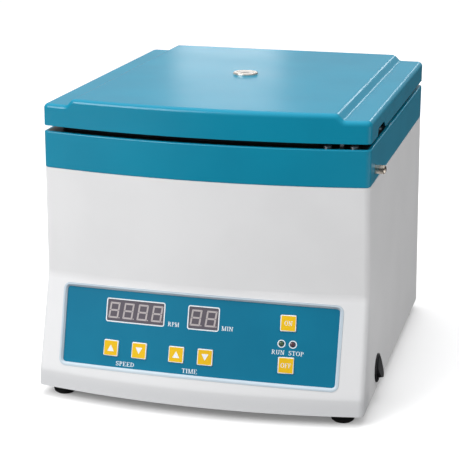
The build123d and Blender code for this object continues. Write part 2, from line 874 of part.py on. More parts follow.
with BuildPart() as motor_bracket:
    with BuildSketch(level(bracket_bottom)) as spider:
        with PolarLocations(isolator_distance, isolator_count, start_angle=90):
            Circle(bracket_pad_radius)
        make_hull(spider.edges())
        Circle(motor_radius / 2, mode=Mode.SUBTRACT)
    extrude(amount=bracket_thickness)
    chamfer(motor_bracket.edges().group_by(Axis.Z)[-1], bracket_edge)

motor_bracket.part.label = "motor_bracket"
export_step(motor_bracket.part, "parts/motor_bracket.step")

with BuildPart() as motor_housing:
    with BuildSketch(level(motor_bottom)):
        Circle(motor_radius)
        with PolarLocations(motor_radius, motor_rib_count):
            Rectangle(*motor_rib)
    extrude(amount=motor_height)
    with BuildSketch(level(motor_top)):
        Circle(motor_boss_radius)
    extrude(amount=motor_boss_height)
    with BuildSketch(level(motor_bottom + motor_wall)):
        Circle(motor_radius - motor_wall)
    extrude(amount=motor_height - 2 * motor_wall, mode=Mode.SUBTRACT)
    with BuildSketch(level(motor_bottom + motor_wall)):
        Circle(bearing_radius + motor_wall)
        Circle(bearing_radius, mode=Mode.SUBTRACT)
    extrude(amount=bearing_width)
    with BuildSketch(level(motor_top - motor_wall)):
        Circle(bearing_radius)
    extrude(amount=motor_boss_height + motor_wall - motor_boss_lip, mode=Mode.SUBTRACT)
    with BuildSketch(level(motor_top)):
        Circle(shaft_radius + shaft_clearance)
    extrude(amount=motor_boss_height, mode=Mode.SUBTRACT)

motor_housing.part.label = "motor_housing"
export_step(motor_housing.part, "parts/motor_housing.step")

lower_bearing_z = motor_bottom + motor_wall
upper_bearing_z = boss_top - motor_boss_lip - bearing_width

with BuildPart() as motor_bearings:
    for height in (lower_bearing_z, upper_bearing_z):
        with BuildSketch(level(height)):
            Circle(bearing_radius - screw_fit)
            Circle(shaft_radius + shaft_fit, mode=Mode.SUBTRACT)
        extrude(amount=bearing_width)
        for face_z, depth in ((height, bearing_groove), (height + bearing_width, -bearing_groove)):
            with BuildSketch(level(face_z)):
                Circle(bearing_radius - bearing_race)
                Circle(shaft_radius + bearing_race, mode=Mode.SUBTRACT)
            extrude(amount=depth, mode=Mode.SUBTRACT)

motor_bearings.part.label = "motor_bearings"
export_step(motor_bearings.part, "parts/motor_bearings.step")

with BuildPart() as stator:
    with BuildSketch(level(stator_middle - stator_length / 2)):
        Circle(motor_radius - motor_wall - screw_fit)
        Circle(stator_bore, mode=Mode.SUBTRACT)
        with PolarLocations(stator_bore + stator_slot[0] / 2, stator_slots):
            Rectangle(2 * stator_slot[0], stator_slot[1], mode=Mode.SUBTRACT)
    extrude(amount=stator_length)

stator.part.label = "stator"
export_step(stator.part, "parts/stator.step")

# --------------------------------------------------------------------------- power supply, inlet

with BuildPart() as transformer:
    with BuildSketch(level(base_top)):
        with Locations(transformer_place):
            RectangleRounded(*transformer_foot, transformer_foot_corner)
    extrude(amount=wall)
    with BuildSketch(level(base_top + wall)):
        with Locations(transformer_place):
            Rectangle(transformer_core[0], transformer_core[1])
    extrude(amount=transformer_core[2])
    with BuildSketch(level(base_top + wall + (transformer_core[2] - transformer_coil[2]) / 2)):
        with Locations(transformer_place):
            RectangleRounded(transformer_coil[0], transformer_coil[1], transformer_coil_corner)
    extrude(amount=transformer_coil[2])

transformer.part.label = "transformer"
export_step(transformer.part, "parts/transformer.step")

with BuildPart() as mains_inlet:
    with BuildSketch(across(back_y)):
        with Locations(inlet_place):
            RectangleRounded(*inlet_flange, inlet_flange_corner)
    extrude(amount=-flange_sheet)
    fillet(mains_inlet.edges().group_by(Axis.Y)[-1], inlet_edge)
    with BuildSketch(across(back_y)):
        with Locations(inlet_place):
            Rectangle(*inlet_body)
    extrude(amount=inlet_depth)
    with BuildSketch(across(back_y + flange_sheet)) as socket:
        with Locations(inlet_place):
            Rectangle(*inlet_socket)
        chamfer(socket.vertices().group_by(Axis.Y)[-1], socket_chamfer)
    extrude(amount=socket_depth, mode=Mode.SUBTRACT)
    with BuildSketch(across(back_y)):
        with Locations(inlet_place):
            with GridLocations(inlet_screw_pitch, 1, 2, 1):
                Circle(inlet_screw_radius)
    extrude(amount=-flange_sheet, mode=Mode.SUBTRACT)

mains_inlet.part.label = "mains_inlet"
export_step(mains_inlet.part, "parts/mains_inlet.step")

with BuildPart() as inlet_pins:
    with BuildSketch(across(socket_floor)):
        for step, rise in ((-1, -inlet_pin_rise), (0, inlet_pin_rise), (1, -inlet_pin_rise)):
            with Locations((inlet_place[0] + step * inlet_pin_spread, inlet_place[1] + rise)):
                Rectangle(*inlet_pin_size)
    extrude(amount=-inlet_pin_length)
    chamfer(inlet_pins.edges().group_by(Axis.Y)[-1], inlet_pin_tip)

inlet_pins.part.label = "inlet_pins"
export_step(inlet_pins.part, "parts/inlet_pins.step")

# --------------------------------------------------------------------------- power switch

pivot_line = Plane(
    origin=switch_plane.origin - switch_plane.z_dir * rocker_pivot_depth,
    x_dir=switch_plane.z_dir, z_dir=(0, 1, 0),
)

with BuildPart() as switch_bezel:
    with BuildSketch(switch_plane):
        Circle(switch_flange_radius)
    extrude(amount=switch_rim)
    fillet(switch_bezel.edges().sort_by(Axis.X)[-1], switch_edge)
    with BuildSketch(switch_plane):
        Circle(switch_barrel_radius)
    extrude(amount=-switch_depth)
    with BuildSketch(switch_plane.offset(switch_rim)):
        Circle(switch_mouth_radius)
    extrude(amount=-switch_rim - switch_depth + switch_floor, mode=Mode.SUBTRACT)
    with BuildSketch(pivot_line):
        Circle(rocker_pin_radius + pivot_fit)
    extrude(amount=rocker_pin_reach + seat_gap, both=True, mode=Mode.SUBTRACT)

switch_bezel.part.label = "switch_bezel"
export_step(switch_bezel.part, "parts/switch_bezel.step")

# the rocker is drawn level, then turned so that its upper end is pressed in
with BuildPart() as level_rocker:
    with BuildSketch(pivot_line):
        top = rocker_rise + rocker_pivot_depth
        with BuildLine():
            edge = ThreePointArc(
                (top + rocker_dish, -rocker_radius), (top, 0), (top + rocker_dish, rocker_radius)
            )
            Polyline(
                edge @ 1, (-rocker_skirt, rocker_radius), (-rocker_keel, 0),
                (-rocker_skirt, -rocker_radius), edge @ 0,
            )
        make_face()
    extrude(amount=rocker_radius, both=True)
    with BuildSketch(switch_plane):
        Circle(rocker_radius)
    extrude(amount=2 * rocker_radius, both=True, mode=Mode.INTERSECT)
    with BuildSketch(pivot_line):
        Circle(rocker_pin_radius)
    extrude(amount=rocker_pin_reach, both=True)

with BuildPart() as power_rocker:
    add(level_rocker.part.rotate(Axis(pivot_line.origin, pivot_line.z_dir), -rocker_throw / 2))

power_rocker.part.label = "power_rocker"
export_step(power_rocker.part, "parts/power_rocker.step")

# --------------------------------------------------------------------------- control panel

overlay_front = wall - overlay_thickness
panel_plane = panel_spot(*panel_centre)
board_face = panel_plane.offset(-board_depth)
post_x = board_size[0] / 2 - board_post_inset[0]
post_y = board_size[1] / 2 - board_post_inset[1]
post_sag = front_radius - sqrt(front_radius**2 - post_x**2)
post_length = board_depth - (post_sag + wall + flange_thickness / 2) * cos(panel_lean)


def bezel_flange_ring():
    """Flange of the bezel, behind the body's wall and under the overlay's edge."""
    with BuildPart() as flange:
        add(panel_shell(wall, wall + flange_thickness))
        add(panel_prism(bezel_flange), mode=Mode.INTERSECT)
        add(panel_prism(-bezel_rim - bezel_flange), mode=Mode.SUBTRACT)
    return flange.part


with BuildPart() as panel_bezel:
    add(panel_shell(-bezel_proud, wall))
    add(panel_prism(0), mode=Mode.INTERSECT)
    add(panel_prism(-bezel_rim), mode=Mode.SUBTRACT)
    front_face = panel_bezel.faces().filter_by(GeomType.CONE).sort_by(Axis.Y)[0]
    chamfer(front_face.inner_wires()[0].edges(), bezel_bevel)
    add(bezel_flange_ring())
    with BuildSketch(board_face):
        with GridLocations(2 * post_x, 2 * post_y, 2, 2):
            Circle(board_post_radius)
    extrude(amount=post_length)

panel_bezel.part.label = "panel_bezel"
export_step(panel_bezel.part, "parts/panel_bezel.step")

window_places = {}
for name, (x, width) in (("speed_display", speed_window), ("time_display", time_window)):
    spot = panel_plane.to_local_coords(panel_spot(x, window_up).origin)
    window_places[name] = (spot.X, spot.Y, width)

with BuildPart() as panel_overlay:
    add(panel_shell(overlay_front, wall))
    add(panel_prism(-bezel_rim - seat_gap / 2), mode=Mode.INTERSECT)
    with BuildSketch(panel_plane):
        for x, y, width in window_places.values():
            with Locations((x, y)):
                RectangleRounded(width, window_height, window_corner)
    extrude(amount=front_bow, both=True, mode=Mode.SUBTRACT)
    for x, up in key_spots.values():
        with BuildSketch(panel_spot(x, up)):
            RectangleRounded(key_size[0] + 2 * key_gap, key_size[1] + 2 * key_gap, key_corner)
        extrude(amount=2 * wall, both=True, mode=Mode.SUBTRACT)
    for x, up in lamp_spots.values():
        with BuildSketch(panel_spot(x, up)):
            Circle(lamp_radius + seat_gap / 2)
        extrude(amount=2 * wall, both=True, mode=Mode.SUBTRACT)

panel_overlay.part.label = "panel_overlay"
export_step(panel_overlay.part, "parts/panel_overlay.step")

behind_overlay = body_block(overlay_front + seat_gap, body_corner)


def display(x, y, width):
    """Display standing on the board; its smoked window follows the overlay's curve."""
    with BuildPart() as module:
        with BuildSketch(board_face):
            with Locations((x, y)):
                RectangleRounded(width - seat_gap, window_height - seat_gap, window_corner)
        extrude(amount=2 * board_depth)
        add(behind_overlay, mode=Mode.INTERSECT)
    return module.part


with BuildPart() as speed_display:
    add(display(*window_places["speed_display"]))

speed_display.part.label = "speed_display"
export_step(speed_display.part, "parts/speed_display.step")

with BuildPart() as time_display:
    add(display(*window_places["time_display"]))

time_display.part.label = "time_display"
export_step(time_display.part, "parts/time_display.step")

lamp_depth = overlay_front - lamp_proud
lamp_foot = wall + lamp_foot_depth


def lamp(x, up):
    """Domed lamp through the overlay, with a collar behind it."""
    with BuildPart() as led:
        with BuildSketch(panel_spot(x, up, lamp_foot)):
            Circle(lamp_radius)
        extrude(amount=lamp_foot - lamp_depth)
        tip = led.faces().sort_by(Axis.Y)[0]
        fillet(tip.edges(), lamp_dome)
        with BuildSketch(panel_spot(x, up, lamp_foot)):
            Circle(lamp_radius + lamp_flange)
        extrude(amount=lamp_foot - wall - seat_gap)
    return led.part


for name, spot in lamp_spots.items():
    with BuildPart() as indicator:
        add(lamp(*spot))
    indicator.part.label = name
    export_step(indicator.part, f"parts/{name}.step")

key_back = wall + seat_gap + key_flange


def key(x, up):
    """Panel key: a cap through the overlay with a flange that keeps it from falling out."""
    with BuildPart() as cap:
        with BuildSketch(panel_spot(x, up, key_back)):
            RectangleRounded(*key_size, key_corner)
        extrude(amount=key_back - overlay_front + key_proud)
        crown = cap.faces().sort_by(Axis.Y)[0]
        fillet(crown.edges(), key_edge)
        with BuildSketch(panel_spot(x, up, key_back)):
            RectangleRounded(*[size + 2 * key_flange_reach for size in key_size], key_corner)
        extrude(amount=key_flange - key_gap)
    return cap.part


for name, spot in key_spots.items():
    with BuildPart() as button:
        add(key(*spot))
    button.part.label = name
    export_step(button.part, f"parts/{name}.step")

with BuildPart() as control_board:
    with BuildSketch(board_face):
        RectangleRounded(*board_size, board_corner)
    extrude(amount=-board_thickness)
    # a switch under each key and a stem under each lamp
    for x, up in key_spots.values():
        tip = board_face.to_local_coords(panel_spot(x, up, key_back + key_travel + key_switch_gap).origin)
        with BuildSketch(board_face):
            with Locations((tip.X, tip.Y)):
                Circle(key_switch_stem)
        extrude(amount=tip.Z)
        with BuildSketch(board_face):
            with Locations((tip.X, tip.Y)):
                Rectangle(key_switch[0], key_switch[1])
        extrude(amount=key_switch[2])
    for x, up in lamp_spots.values():
        tip = board_face.to_local_coords(panel_spot(x, up, lamp_foot + stem_gap).origin)
        with BuildSketch(board_face):
            with Locations((tip.X, tip.Y)):
                Circle(lamp_radius)
        extrude(amount=tip.Z)
    # chips and a relay on the back
    with BuildSketch(board_face.offset(-board_thickness)):
        with GridLocations(*chip_pitch, *chip_rows):
            Rectangle(chip_size[0], chip_size[1])
    extrude(amount=-chip_size[2])
    with BuildSketch(board_face.offset(-board_thickness)):
        with Locations((relay_x, 0)):
            Rectangle(relay_size[0], relay_size[1])
    extrude(amount=-relay_size[2])

control_board.part.label = "control_board"
export_step(control_board.part, "parts/control_board.step")

# --------------------------------------------------------------------------- lid

notch_low_front = front_y + notch_front
notch_low_back = front_y + notch_back


def lid_block(inset):
    """Solid inside the lid's outer face, drawn in by inset: flat side shelves, raised crown."""
    half = half_width - inset
    crown = crown_half_width - inset / 2
    shelf = shelf_top - inset
    rise = lid_crown
    with BuildPart() as block:
        with BuildSketch(across(back_y - inset)):
            with BuildLine():
                Polyline(
                    (-half, lid_bottom), (half, lid_bottom), (half, shelf), (crown + rise, shelf),
                    (crown, shelf + rise), (-crown, shelf + rise), (-crown - rise, shelf), (-half, shelf),
                    close=True,
                )
            make_face()
        extrude(amount=case_depth + front_bow)
        with BuildSketch(level(lid_bottom)):
            add(case_outline(inset, body_corner - inset / 2))
        extrude(amount=lid_edge_height + lid_crown, mode=Mode.INTERSECT)
    return block.part


lid_outline = case_outline(0, body_corner).face().outer_wire()


def on_outline(edge):
    """True for an edge on the lid's outer outline, seen from above."""
    middle = edge @ 0.5
    return Vertex(middle.X - spin_x, middle.Y - spin_y, 0).distance_to(lid_outline) < tolerance


# bosses inside the cover for the screws that hold the liner
with BuildPart() as liner_bosses:
    with BuildSketch(level(liner_top)):
        with Locations(*lid_screw_places):
            Circle(lid_boss_radius)
    extrude(amount=lid_top - liner_top)
    add(lid_block(wall / 2), mode=Mode.INTERSECT)

with BuildPart() as lid_cover:
    add(lid_block(0))
    inner_lines = lid_cover.edges().filter_by(Axis.Y).filter_by(on_outline, reverse=True)
    fillet(inner_lines.group_by(Axis.Z)[-1], crown_edge)
    inner_lines = lid_cover.edges().filter_by(Axis.Y).filter_by(on_outline, reverse=True)
    fillet(inner_lines.group_by(Axis.Z)[0], crown_foot)
    top_rim = lid_cover.edges().filter_by(lambda edge: edge.bounding_box().min.Z > shelf_top - tolerance)
    fillet(top_rim.filter_by(on_outline), lid_edge)
    add(lid_block(wall), mode=Mode.SUBTRACT)
    add(liner_bosses.part)
    # closed pocket behind the finger notch
    with BuildSketch(level(lid_bottom)):
        with Locations((half_width - (wall + notch_reach) / 2, (notch_low_front + notch_low_back) / 2)):
            Rectangle(notch_reach, notch_low_back - notch_low_front + 2 * wall)
    extrude(amount=notch_height + wall / 2)
    with BuildSketch(beside(half_width)):
        with BuildLine():
            Polyline(
                (notch_low_front, lid_bottom), (notch_low_back, lid_bottom),
                (notch_low_back - notch_lean, lid_bottom + notch_height),
                (notch_low_front + notch_front_lean, lid_bottom + notch_height), close=True,
            )
        make_face()
    extrude(amount=-notch_reach, mode=Mode.SUBTRACT)
    # sight tube and screw holes
    with BuildSketch(level(liner_top)):
        with Locations(sight_place):
            Circle(sight_tube + seat_gap / 2)
    extrude(amount=lid_top - liner_top, mode=Mode.SUBTRACT)
    with BuildSketch(level(liner_top)):
        with Locations(*lid_screw_places):
            Circle(screw_radius + screw_fit)
    extrude(amount=screw_length - liner_thickness, mode=Mode.SUBTRACT)

lid_cover.part.label = "lid_cover"
export_step(lid_cover.part, "parts/lid_cover.step")

with BuildPart() as lid_liner:
    with BuildSketch(level(lid_bottom)):
        add(case_outline(wall + seat_gap, body_corner))
    extrude(amount=liner_thickness)
    with BuildSketch(level(lid_bottom)):
        Circle(liner_dome_radius + liner_thickness)
    extrude(amount=dome_top - lid_bottom)
    with BuildSketch(level(lid_bottom)):
        Circle(liner_dome_radius)
    extrude(amount=liner_dome_height, mode=Mode.SUBTRACT)
    chamfer(lid_liner.edges().filter_by(GeomType.CIRCLE).group_by(Axis.Z)[-1], liner_thickness)
    with BuildSketch(level(lid_bottom)):
        with Locations(sight_place):
            Circle(sight_tube + seat_gap / 2)
        with Locations(*lid_screw_places):
            Circle(screw_radius + screw_fit)
        with Locations((half_width - (wall + notch_reach) / 2, (notch_low_front + notch_low_back) / 2)):
            Rectangle(notch_reach + 2 * seat_gap, notch_low_back - notch_low_front + 2 * (wall + seat_gap))
    extrude(amount=dome_top - lid_bottom, mode=Mode.SUBTRACT)

lid_liner.part.label = "lid_liner"
export_step(lid_liner.part, "parts/lid_liner.step")

with BuildPart() as lid_screws:
    add(screws(lid_screw_places, lid_bottom, 1))

lid_screws.part.label = "lid_screws"
export_step(lid_screws.part, "parts/lid_screws.step")

with BuildPart() as sight_ring:
    with BuildSketch(level(lid_top)):
        with Locations(sight_place):
            Circle(sight_radius)
    extrude(amount=sight_rise)
    fillet(sight_ring.edges().group_by(Axis.Z)[-1], sight_edge)
    with BuildSketch(level(lid_top)):
        with Locations(sight_place):
            Circle(sight_tube)
    extrude(amount=dome_top - liner_thickness - lid_top)
    with BuildSketch(level(dome_top - liner_thickness)):
        with Locations(sight_place):
            Circle(sight_bore)
    extrude(amount=lid_top + sight_rise - dome_top + liner_thickness, mode=Mode.SUBTRACT)

sight_ring.part.label = "sight_ring"
export_step(sight_ring.part, "parts/sight_ring.step")

with BuildPart() as sight_glass:
    with BuildSketch(level(lid_top - wall)):
        with Locations(sight_place):
            Circle(sight_glass_radius)
    extrude(amount=wall + sight_rise - sight_glass_sink)
    fillet(sight_glass.edges().group_by(Axis.Z)[-1], sight_glass_edge)

sight_glass.part.label = "sight_glass"
export_step(sight_glass.part, "parts/sight_glass.step")

with BuildPart() as lid_catch:
    with BuildSketch(level(lid_bottom)):
        with Locations((catch_x + catch_thickness, catch_front)):
            Rectangle(catch_leaf, catch_length, align=(Align.MAX, Align.MIN))
    extrude(amount=-catch_thickness / 2)
    with BuildSketch(beside(catch_x)) as tongue:
        with Locations((catch_front, lid_bottom)):
            Rectangle(catch_length, lid_bottom - lock_height + catch_below, align=(Align.MIN, Align.MAX))
        fillet(tongue.vertices().group_by(Axis.Y)[0], catch_corner)
        with Locations((lock_y, lock_height)):
            Rectangle(catch_window, catch_window, mode=Mode.SUBTRACT)
    extrude(amount=catch_thickness)

lid_catch.part.label = "lid_catch"
export_step(lid_catch.part, "parts/lid_catch.step")

# --------------------------------------------------------------------------- lid lock

bolt_end = half_width + lock_proud
bush_inner = half_width - lock_skin - seat_gap / 2 - lock_bush_length

with BuildPart() as lock_bush:
    with BuildSketch(beside(bush_inner)):
        with Locations((lock_y, lock_height)):
            Circle(lock_bush_radius)
    extrude(amount=lock_bush_length)
    with BuildSketch(beside(half_width - collar_wall)):
        with Locations((lock_y, lock_height)):
            RegularPolygon(lock_bush_radius + lock_nut[0], 6)
    extrude(amount=-lock_nut[1])
    with BuildSketch(beside(bush_inner)):
        with Locations((lock_y, lock_height)):
            Circle(lock_radius + lock_fit)
    extrude(amount=lock_bush_length, mode=Mode.SUBTRACT)

lock_bush.part.label = "lock_bush"
export_step(lock_bush.part, "parts/lock_bush.step")

with BuildPart() as lock_bolt:
    with BuildSketch(beside(bolt_tip)):
        with Locations((lock_y, lock_height)):
            Circle(lock_radius)
    extrude(amount=bolt_end - bolt_tip)
    fillet(lock_bolt.edges().group_by(Axis.X)[-1], lock_end_round)
    chamfer(lock_bolt.edges().group_by(Axis.X)[0], lock_tip_chamfer)
    with BuildSketch(beside(bush_inner - seal_clearance)):
        with Locations((lock_y, lock_height)):
            Circle(lock_shoulder)
    extrude(amount=-lock_shoulder_thickness)
    with BuildSketch(beside(bolt_end - lock_groove[0])):
        with Locations((lock_y, lock_height)):
            Circle(2 * lock_radius)
            Circle(lock_radius - lock_groove[2], mode=Mode.SUBTRACT)
    extrude(amount=-lock_groove[1], mode=Mode.SUBTRACT)

lock_bolt.part.label = "lock_bolt"
export_step(lock_bolt.part, "parts/lock_bolt.step")

# --------------------------------------------------------------------------- hinges

knuckle = hinge_width / 4
leaf_clearance = hinge_barrel + hinge_leaf_gap


# where a web leaves its barrel's curve
web_start_y = hinge_y + hinge_barrel * cos(hinge_web_angle)
web_start_rise = hinge_barrel * sin(hinge_web_angle)


def hinge_half(up, starts, length):
    """Leaf and knuckles of one side of both hinges: up is 1 for the lid's, -1 for the collar's."""
    with BuildPart() as half:
        for middle in (-hinge_spread, hinge_spread):
            with BuildSketch(beside(middle - hinge_width / 2)):
                with Locations((back_y, hinge_z + up * leaf_clearance)):
                    Rectangle(
                        hinge_leaf, lid_edge_height - leaf_clearance,
                        align=(Align.MIN, Align.MIN if up > 0 else Align.MAX),
                    )
            extrude(amount=hinge_width)
            for start in starts:
                with BuildSketch(beside(middle + start)):
                    with Locations((hinge_y, hinge_z)):
                        Circle(hinge_barrel)
                    with BuildLine():
                        Polyline(
                            (back_y + hinge_skin, hinge_z + up * leaf_clearance), (hinge_y, hinge_z),
                            (web_start_y, hinge_z + up * web_start_rise),
                            (back_y + hinge_leaf, hinge_z + up * hinge_web * leaf_clearance),
                            (back_y + hinge_skin, hinge_z + up * hinge_web * leaf_clearance), close=True,
                        )
                    make_face()
                extrude(amount=length)
            with BuildSketch(beside(middle - hinge_width / 2)):
                with Locations((hinge_y, hinge_z)):
                    Circle(hinge_pin_radius + hinge_fit)
            extrude(amount=hinge_width, mode=Mode.SUBTRACT)
    return half.part


with BuildPart() as body_hinges:
    add(hinge_half(-1, (-2 * knuckle, knuckle), knuckle))

body_hinges.part.label = "body_hinges"
export_step(body_hinges.part, "parts/body_hinges.step")

with BuildPart() as lid_hinges:
    add(hinge_half(1, (hinge_play - knuckle,), 2 * (knuckle - hinge_play)))

lid_hinges.part.label = "lid_hinges"
export_step(lid_hinges.part, "parts/lid_hinges.step")

with BuildPart() as hinge_pins:
    for middle in (-hinge_spread, hinge_spread):
        with BuildSketch(beside(middle - hinge_width / 2)):
            with Locations((hinge_y, hinge_z)):
                Circle(hinge_pin_radius)
        extrude(amount=hinge_width)
        for face, thickness in ((-hinge_width / 2, -hinge_pin_head[1]), (hinge_width / 2, hinge_pin_head[1])):
            with BuildSketch(beside(middle + face)):
                with Locations((hinge_y, hinge_z)):
                    Circle(hinge_pin_head[0])
            extrude(amount=thickness)

hinge_pins.part.label = "hinge_pins"
export_step(hinge_pins.part, "parts/hinge_pins.step")

# --------------------------------------------------------------------------- rotor


with BuildPart() as motor_shaft:
    with BuildSketch(level(lower_bearing_z)):
        Circle(shaft_radius)
    extrude(amount=hub_top + nut_height - shaft_stand_down - lower_bearing_z)
    chamfer(motor_shaft.edges().group_by(Axis.Z)[-1], shaft_tip)

motor_shaft.part.label = "motor_shaft"
export_step(motor_shaft.part, "parts/motor_shaft.step")

with BuildPart() as armature:
    with BuildSketch(level(stator_middle - stator_length / 2)):
        Circle(stator_bore - armature_gap)
        with PolarLocations(stator_bore - armature_gap, armature_slots):
            Rectangle(*armature_slot, mode=Mode.SUBTRACT)
        Circle(shaft_radius + screw_fit, mode=Mode.SUBTRACT)
    extrude(amount=stator_length)

armature.part.label = "armature"
export_step(armature.part, "parts/armature.step")

with BuildPart() as rotor_head:
    with BuildSketch(radial(0)):
        with BuildLine():
            Polyline(
                (shaft_radius + screw_fit, rotor_bottom),
                (rotor_radius, rotor_bottom),
                (rotor_radius, rotor_bottom + rotor_rim),
                (rotor_radius - rotor_rim_wall, rotor_bottom + rotor_rim),
                (rotor_radius - rotor_rim_wall - rotor_rim_slope, rotor_top),
                (hub_radius + hub_foot, rotor_top),
                (hub_radius, rotor_top + hub_foot),
                (hub_radius, hub_top),
                (shaft_radius + screw_fit, hub_top),
                close=True,
            )
        make_face()
    revolve(axis=spin_axis)
    hub_circles = rotor_head.edges().filter_by(GeomType.CIRCLE).group_by(Axis.Z)[-1]
    fillet(hub_circles.sort_by(SortBy.RADIUS)[-1], hub_edge)
    # a pair of ears for each carrier
    for angle in carrier_angles:
        for side in (-1, 1):
            place = carrier_plane(angle, 0, 0)
            ear_plane = Plane(
                origin=place.origin + place.x_dir * side * ear_inner,
                x_dir=place.z_dir, z_dir=-place.x_dir,
            )
            with BuildSketch(ear_plane):
                Circle(ear_width / 2)
                with BuildLine():
                    Polyline(
                        (-ear_width / 2, 0), (ear_width / 2, 0), (ear_width / 2 + ear_flare, ear_foot),
                        (-ear_width / 2 - ear_flare, ear_foot), close=True,
                    )
                make_face()
            extrude(amount=-side * ear_thickness)
            with BuildSketch(ear_plane):
                Circle(pivot_radius + pivot_fit)
            extrude(amount=-side * ear_thickness, mode=Mode.SUBTRACT)
    # lightening holes between the carriers
    with BuildSketch(level(rotor_bottom)):
        hole_distance = carrier_radius - lightening_hole_inset
        with PolarLocations(hole_distance, carrier_count, start_angle=180 / carrier_count):
            Circle(lightening_hole_radius)
    extrude(amount=rotor_plate, mode=Mode.SUBTRACT)

rotor_head.part.label = "rotor_head"
export_step(rotor_head.part, "parts/rotor_head.step")

with BuildPart() as rotor_nut:
    with BuildSketch(level(hub_top)):
        Circle(nut_radius)
        with PolarLocations(nut_radius + nut_grip_offset, nut_grips):
            Circle(nut_grip_radius, mode=Mode.SUBTRACT)
        Circle(shaft_radius + screw_fit, mode=Mode.SUBTRACT)
    extrude(amount=nut_height - nut_cap)
    with BuildSketch(level(hub_top + nut_height - nut_cap)):
        Circle(nut_radius - nut_cap_step)
    extrude(amount=nut_cap)
    chamfer(rotor_nut.edges().group_by(Axis.Z)[-1], nut_edge)

rotor_nut.part.label = "rotor_nut"
export_step(rotor_nut.part, "parts/rotor_nut.step")


def clip(angle):
    """Slide clip: a bent sheet channel with a window, a ledge, a spring wire and two trunnions."""
    back = carrier_plane(angle, clip_offset)
    with BuildPart() as channel:
        with BuildSketch(back):
            with Locations((0, (clip_height - clip_drop) / 2)):
                RectangleRounded(2 * clip_half_width, clip_height + clip_drop, clip_corner)
            with Locations((0, clip_window_rise)):
                RectangleRounded(*clip_window, clip_window_corner, mode=Mode.SUBTRACT)
        extrude(amount=clip_sheet)
        flange_plane = carrier_plane(angle, clip_offset + clip_sheet)
        with BuildSketch(flange_plane):
            for side in (-1, 1):
                flange_x = side * (clip_half_width - clip_sheet / 2)
                with Locations((flange_x, (clip_flange_height - clip_drop) / 2)):
                    Rectangle(clip_sheet, clip_flange_height + clip_drop)
            with Locations((0, clip_sheet / 2 - clip_drop)):
                Rectangle(2 * clip_half_width, clip_sheet)
        extrude(amount=-clip_flange_reach - clip_sheet)
        wire = carrier_plane(angle, funnel_face - seat_gap)
        with BuildSketch(wire):
            with Locations((0, clip_flange_height - wire_width)):
                Rectangle(2 * clip_half_width, wire_width)
        extrude(amount=-wire_thickness)
        axle = carrier_plane(angle)
        for side in (-1, 1):
            trunnion = Plane(
                origin=axle.origin + axle.x_dir * side * (clip_half_width - clip_sheet),
                x_dir=axle.z_dir, z_dir=axle.x_dir * side,
            )
            with BuildSketch(trunnion):
                Circle(pivot_radius)
            extrude(amount=clip_sheet + ear_gap + ear_thickness + trunnion_end)
    return channel.part


def funnel(angle):
    """Sample funnel: a gasket plate against the slide, an upright well and the port between them."""
    plate = carrier_plane(angle, funnel_face + funnel_thickness)
    out = carrier_plane(angle, 0, 0).z_dir
    well_centre = Vector(spin_x, spin_y, 0) + out * (carrier_radius - well_offset)
    with BuildPart() as body:
        with BuildSketch(plate):
            with Locations((0, (funnel_top - funnel_drop) / 2)):
                RectangleRounded(funnel_width, funnel_top + funnel_drop, funnel_corner)
        extrude(amount=-funnel_thickness)
        with BuildSketch(Plane(origin=well_centre + Vector(0, 0, pivot_z + well_base))):
            Circle(well_radius)
        extrude(amount=well_top - well_base)
        well_foot = body.edges().filter_by(GeomType.CIRCLE).filter_by(
            lambda edge: abs(edge.center().Z - pivot_z - well_base) < tolerance
        )
        chamfer(well_foot, well_foot_edge)
        with BuildSketch(plate):
            with Locations((0, port_height)):
                Circle(port_radius)
        extrude(amount=-well_offset)
        with BuildSketch(Plane(origin=well_centre + Vector(0, 0, pivot_z + well_base + well_floor))):
            Circle(well_bore)
        extrude(amount=well_top - well_base, mode=Mode.SUBTRACT)
        with BuildSketch(plate):
            with Locations((0, port_height)):
                Circle(port_bore)
        extrude(amount=-well_offset, mode=Mode.SUBTRACT)
    return body.part


for index, angle in enumerate(carrier_angles, start=1):
    with BuildPart() as slide_clip:
        add(clip(angle))
    slide_clip.part.label = f"slide_clip_{index}"
    export_step(slide_clip.part, f"parts/slide_clip_{index}.step")
    with BuildPart() as sample_funnel:
        add(funnel(angle))
    sample_funnel.part.label = f"sample_funnel_{index}"
    export_step(sample_funnel.part, f"parts/sample_funnel_{index}.step")
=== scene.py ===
# %% [markdown]
# # A bench cytocentrifuge, dressed for the studio
#
# The engineering model gives every rigid piece its true shape: case, collar, lid, panel, rotor
# and the slide carriers inside.  This lesson adds what an engineering model leaves out: the
# finish of each moulding, the printing on the control panel, the digits behind their smoked
# windows, the glass slides, and the small screws.  All lengths are in metres, and nothing that
# the engineering model placed is moved.

# %% Load the packed model
import json
import math

import bpy
from mathutils import Matrix, Vector
from mathutils.bvhtree import BVHTree


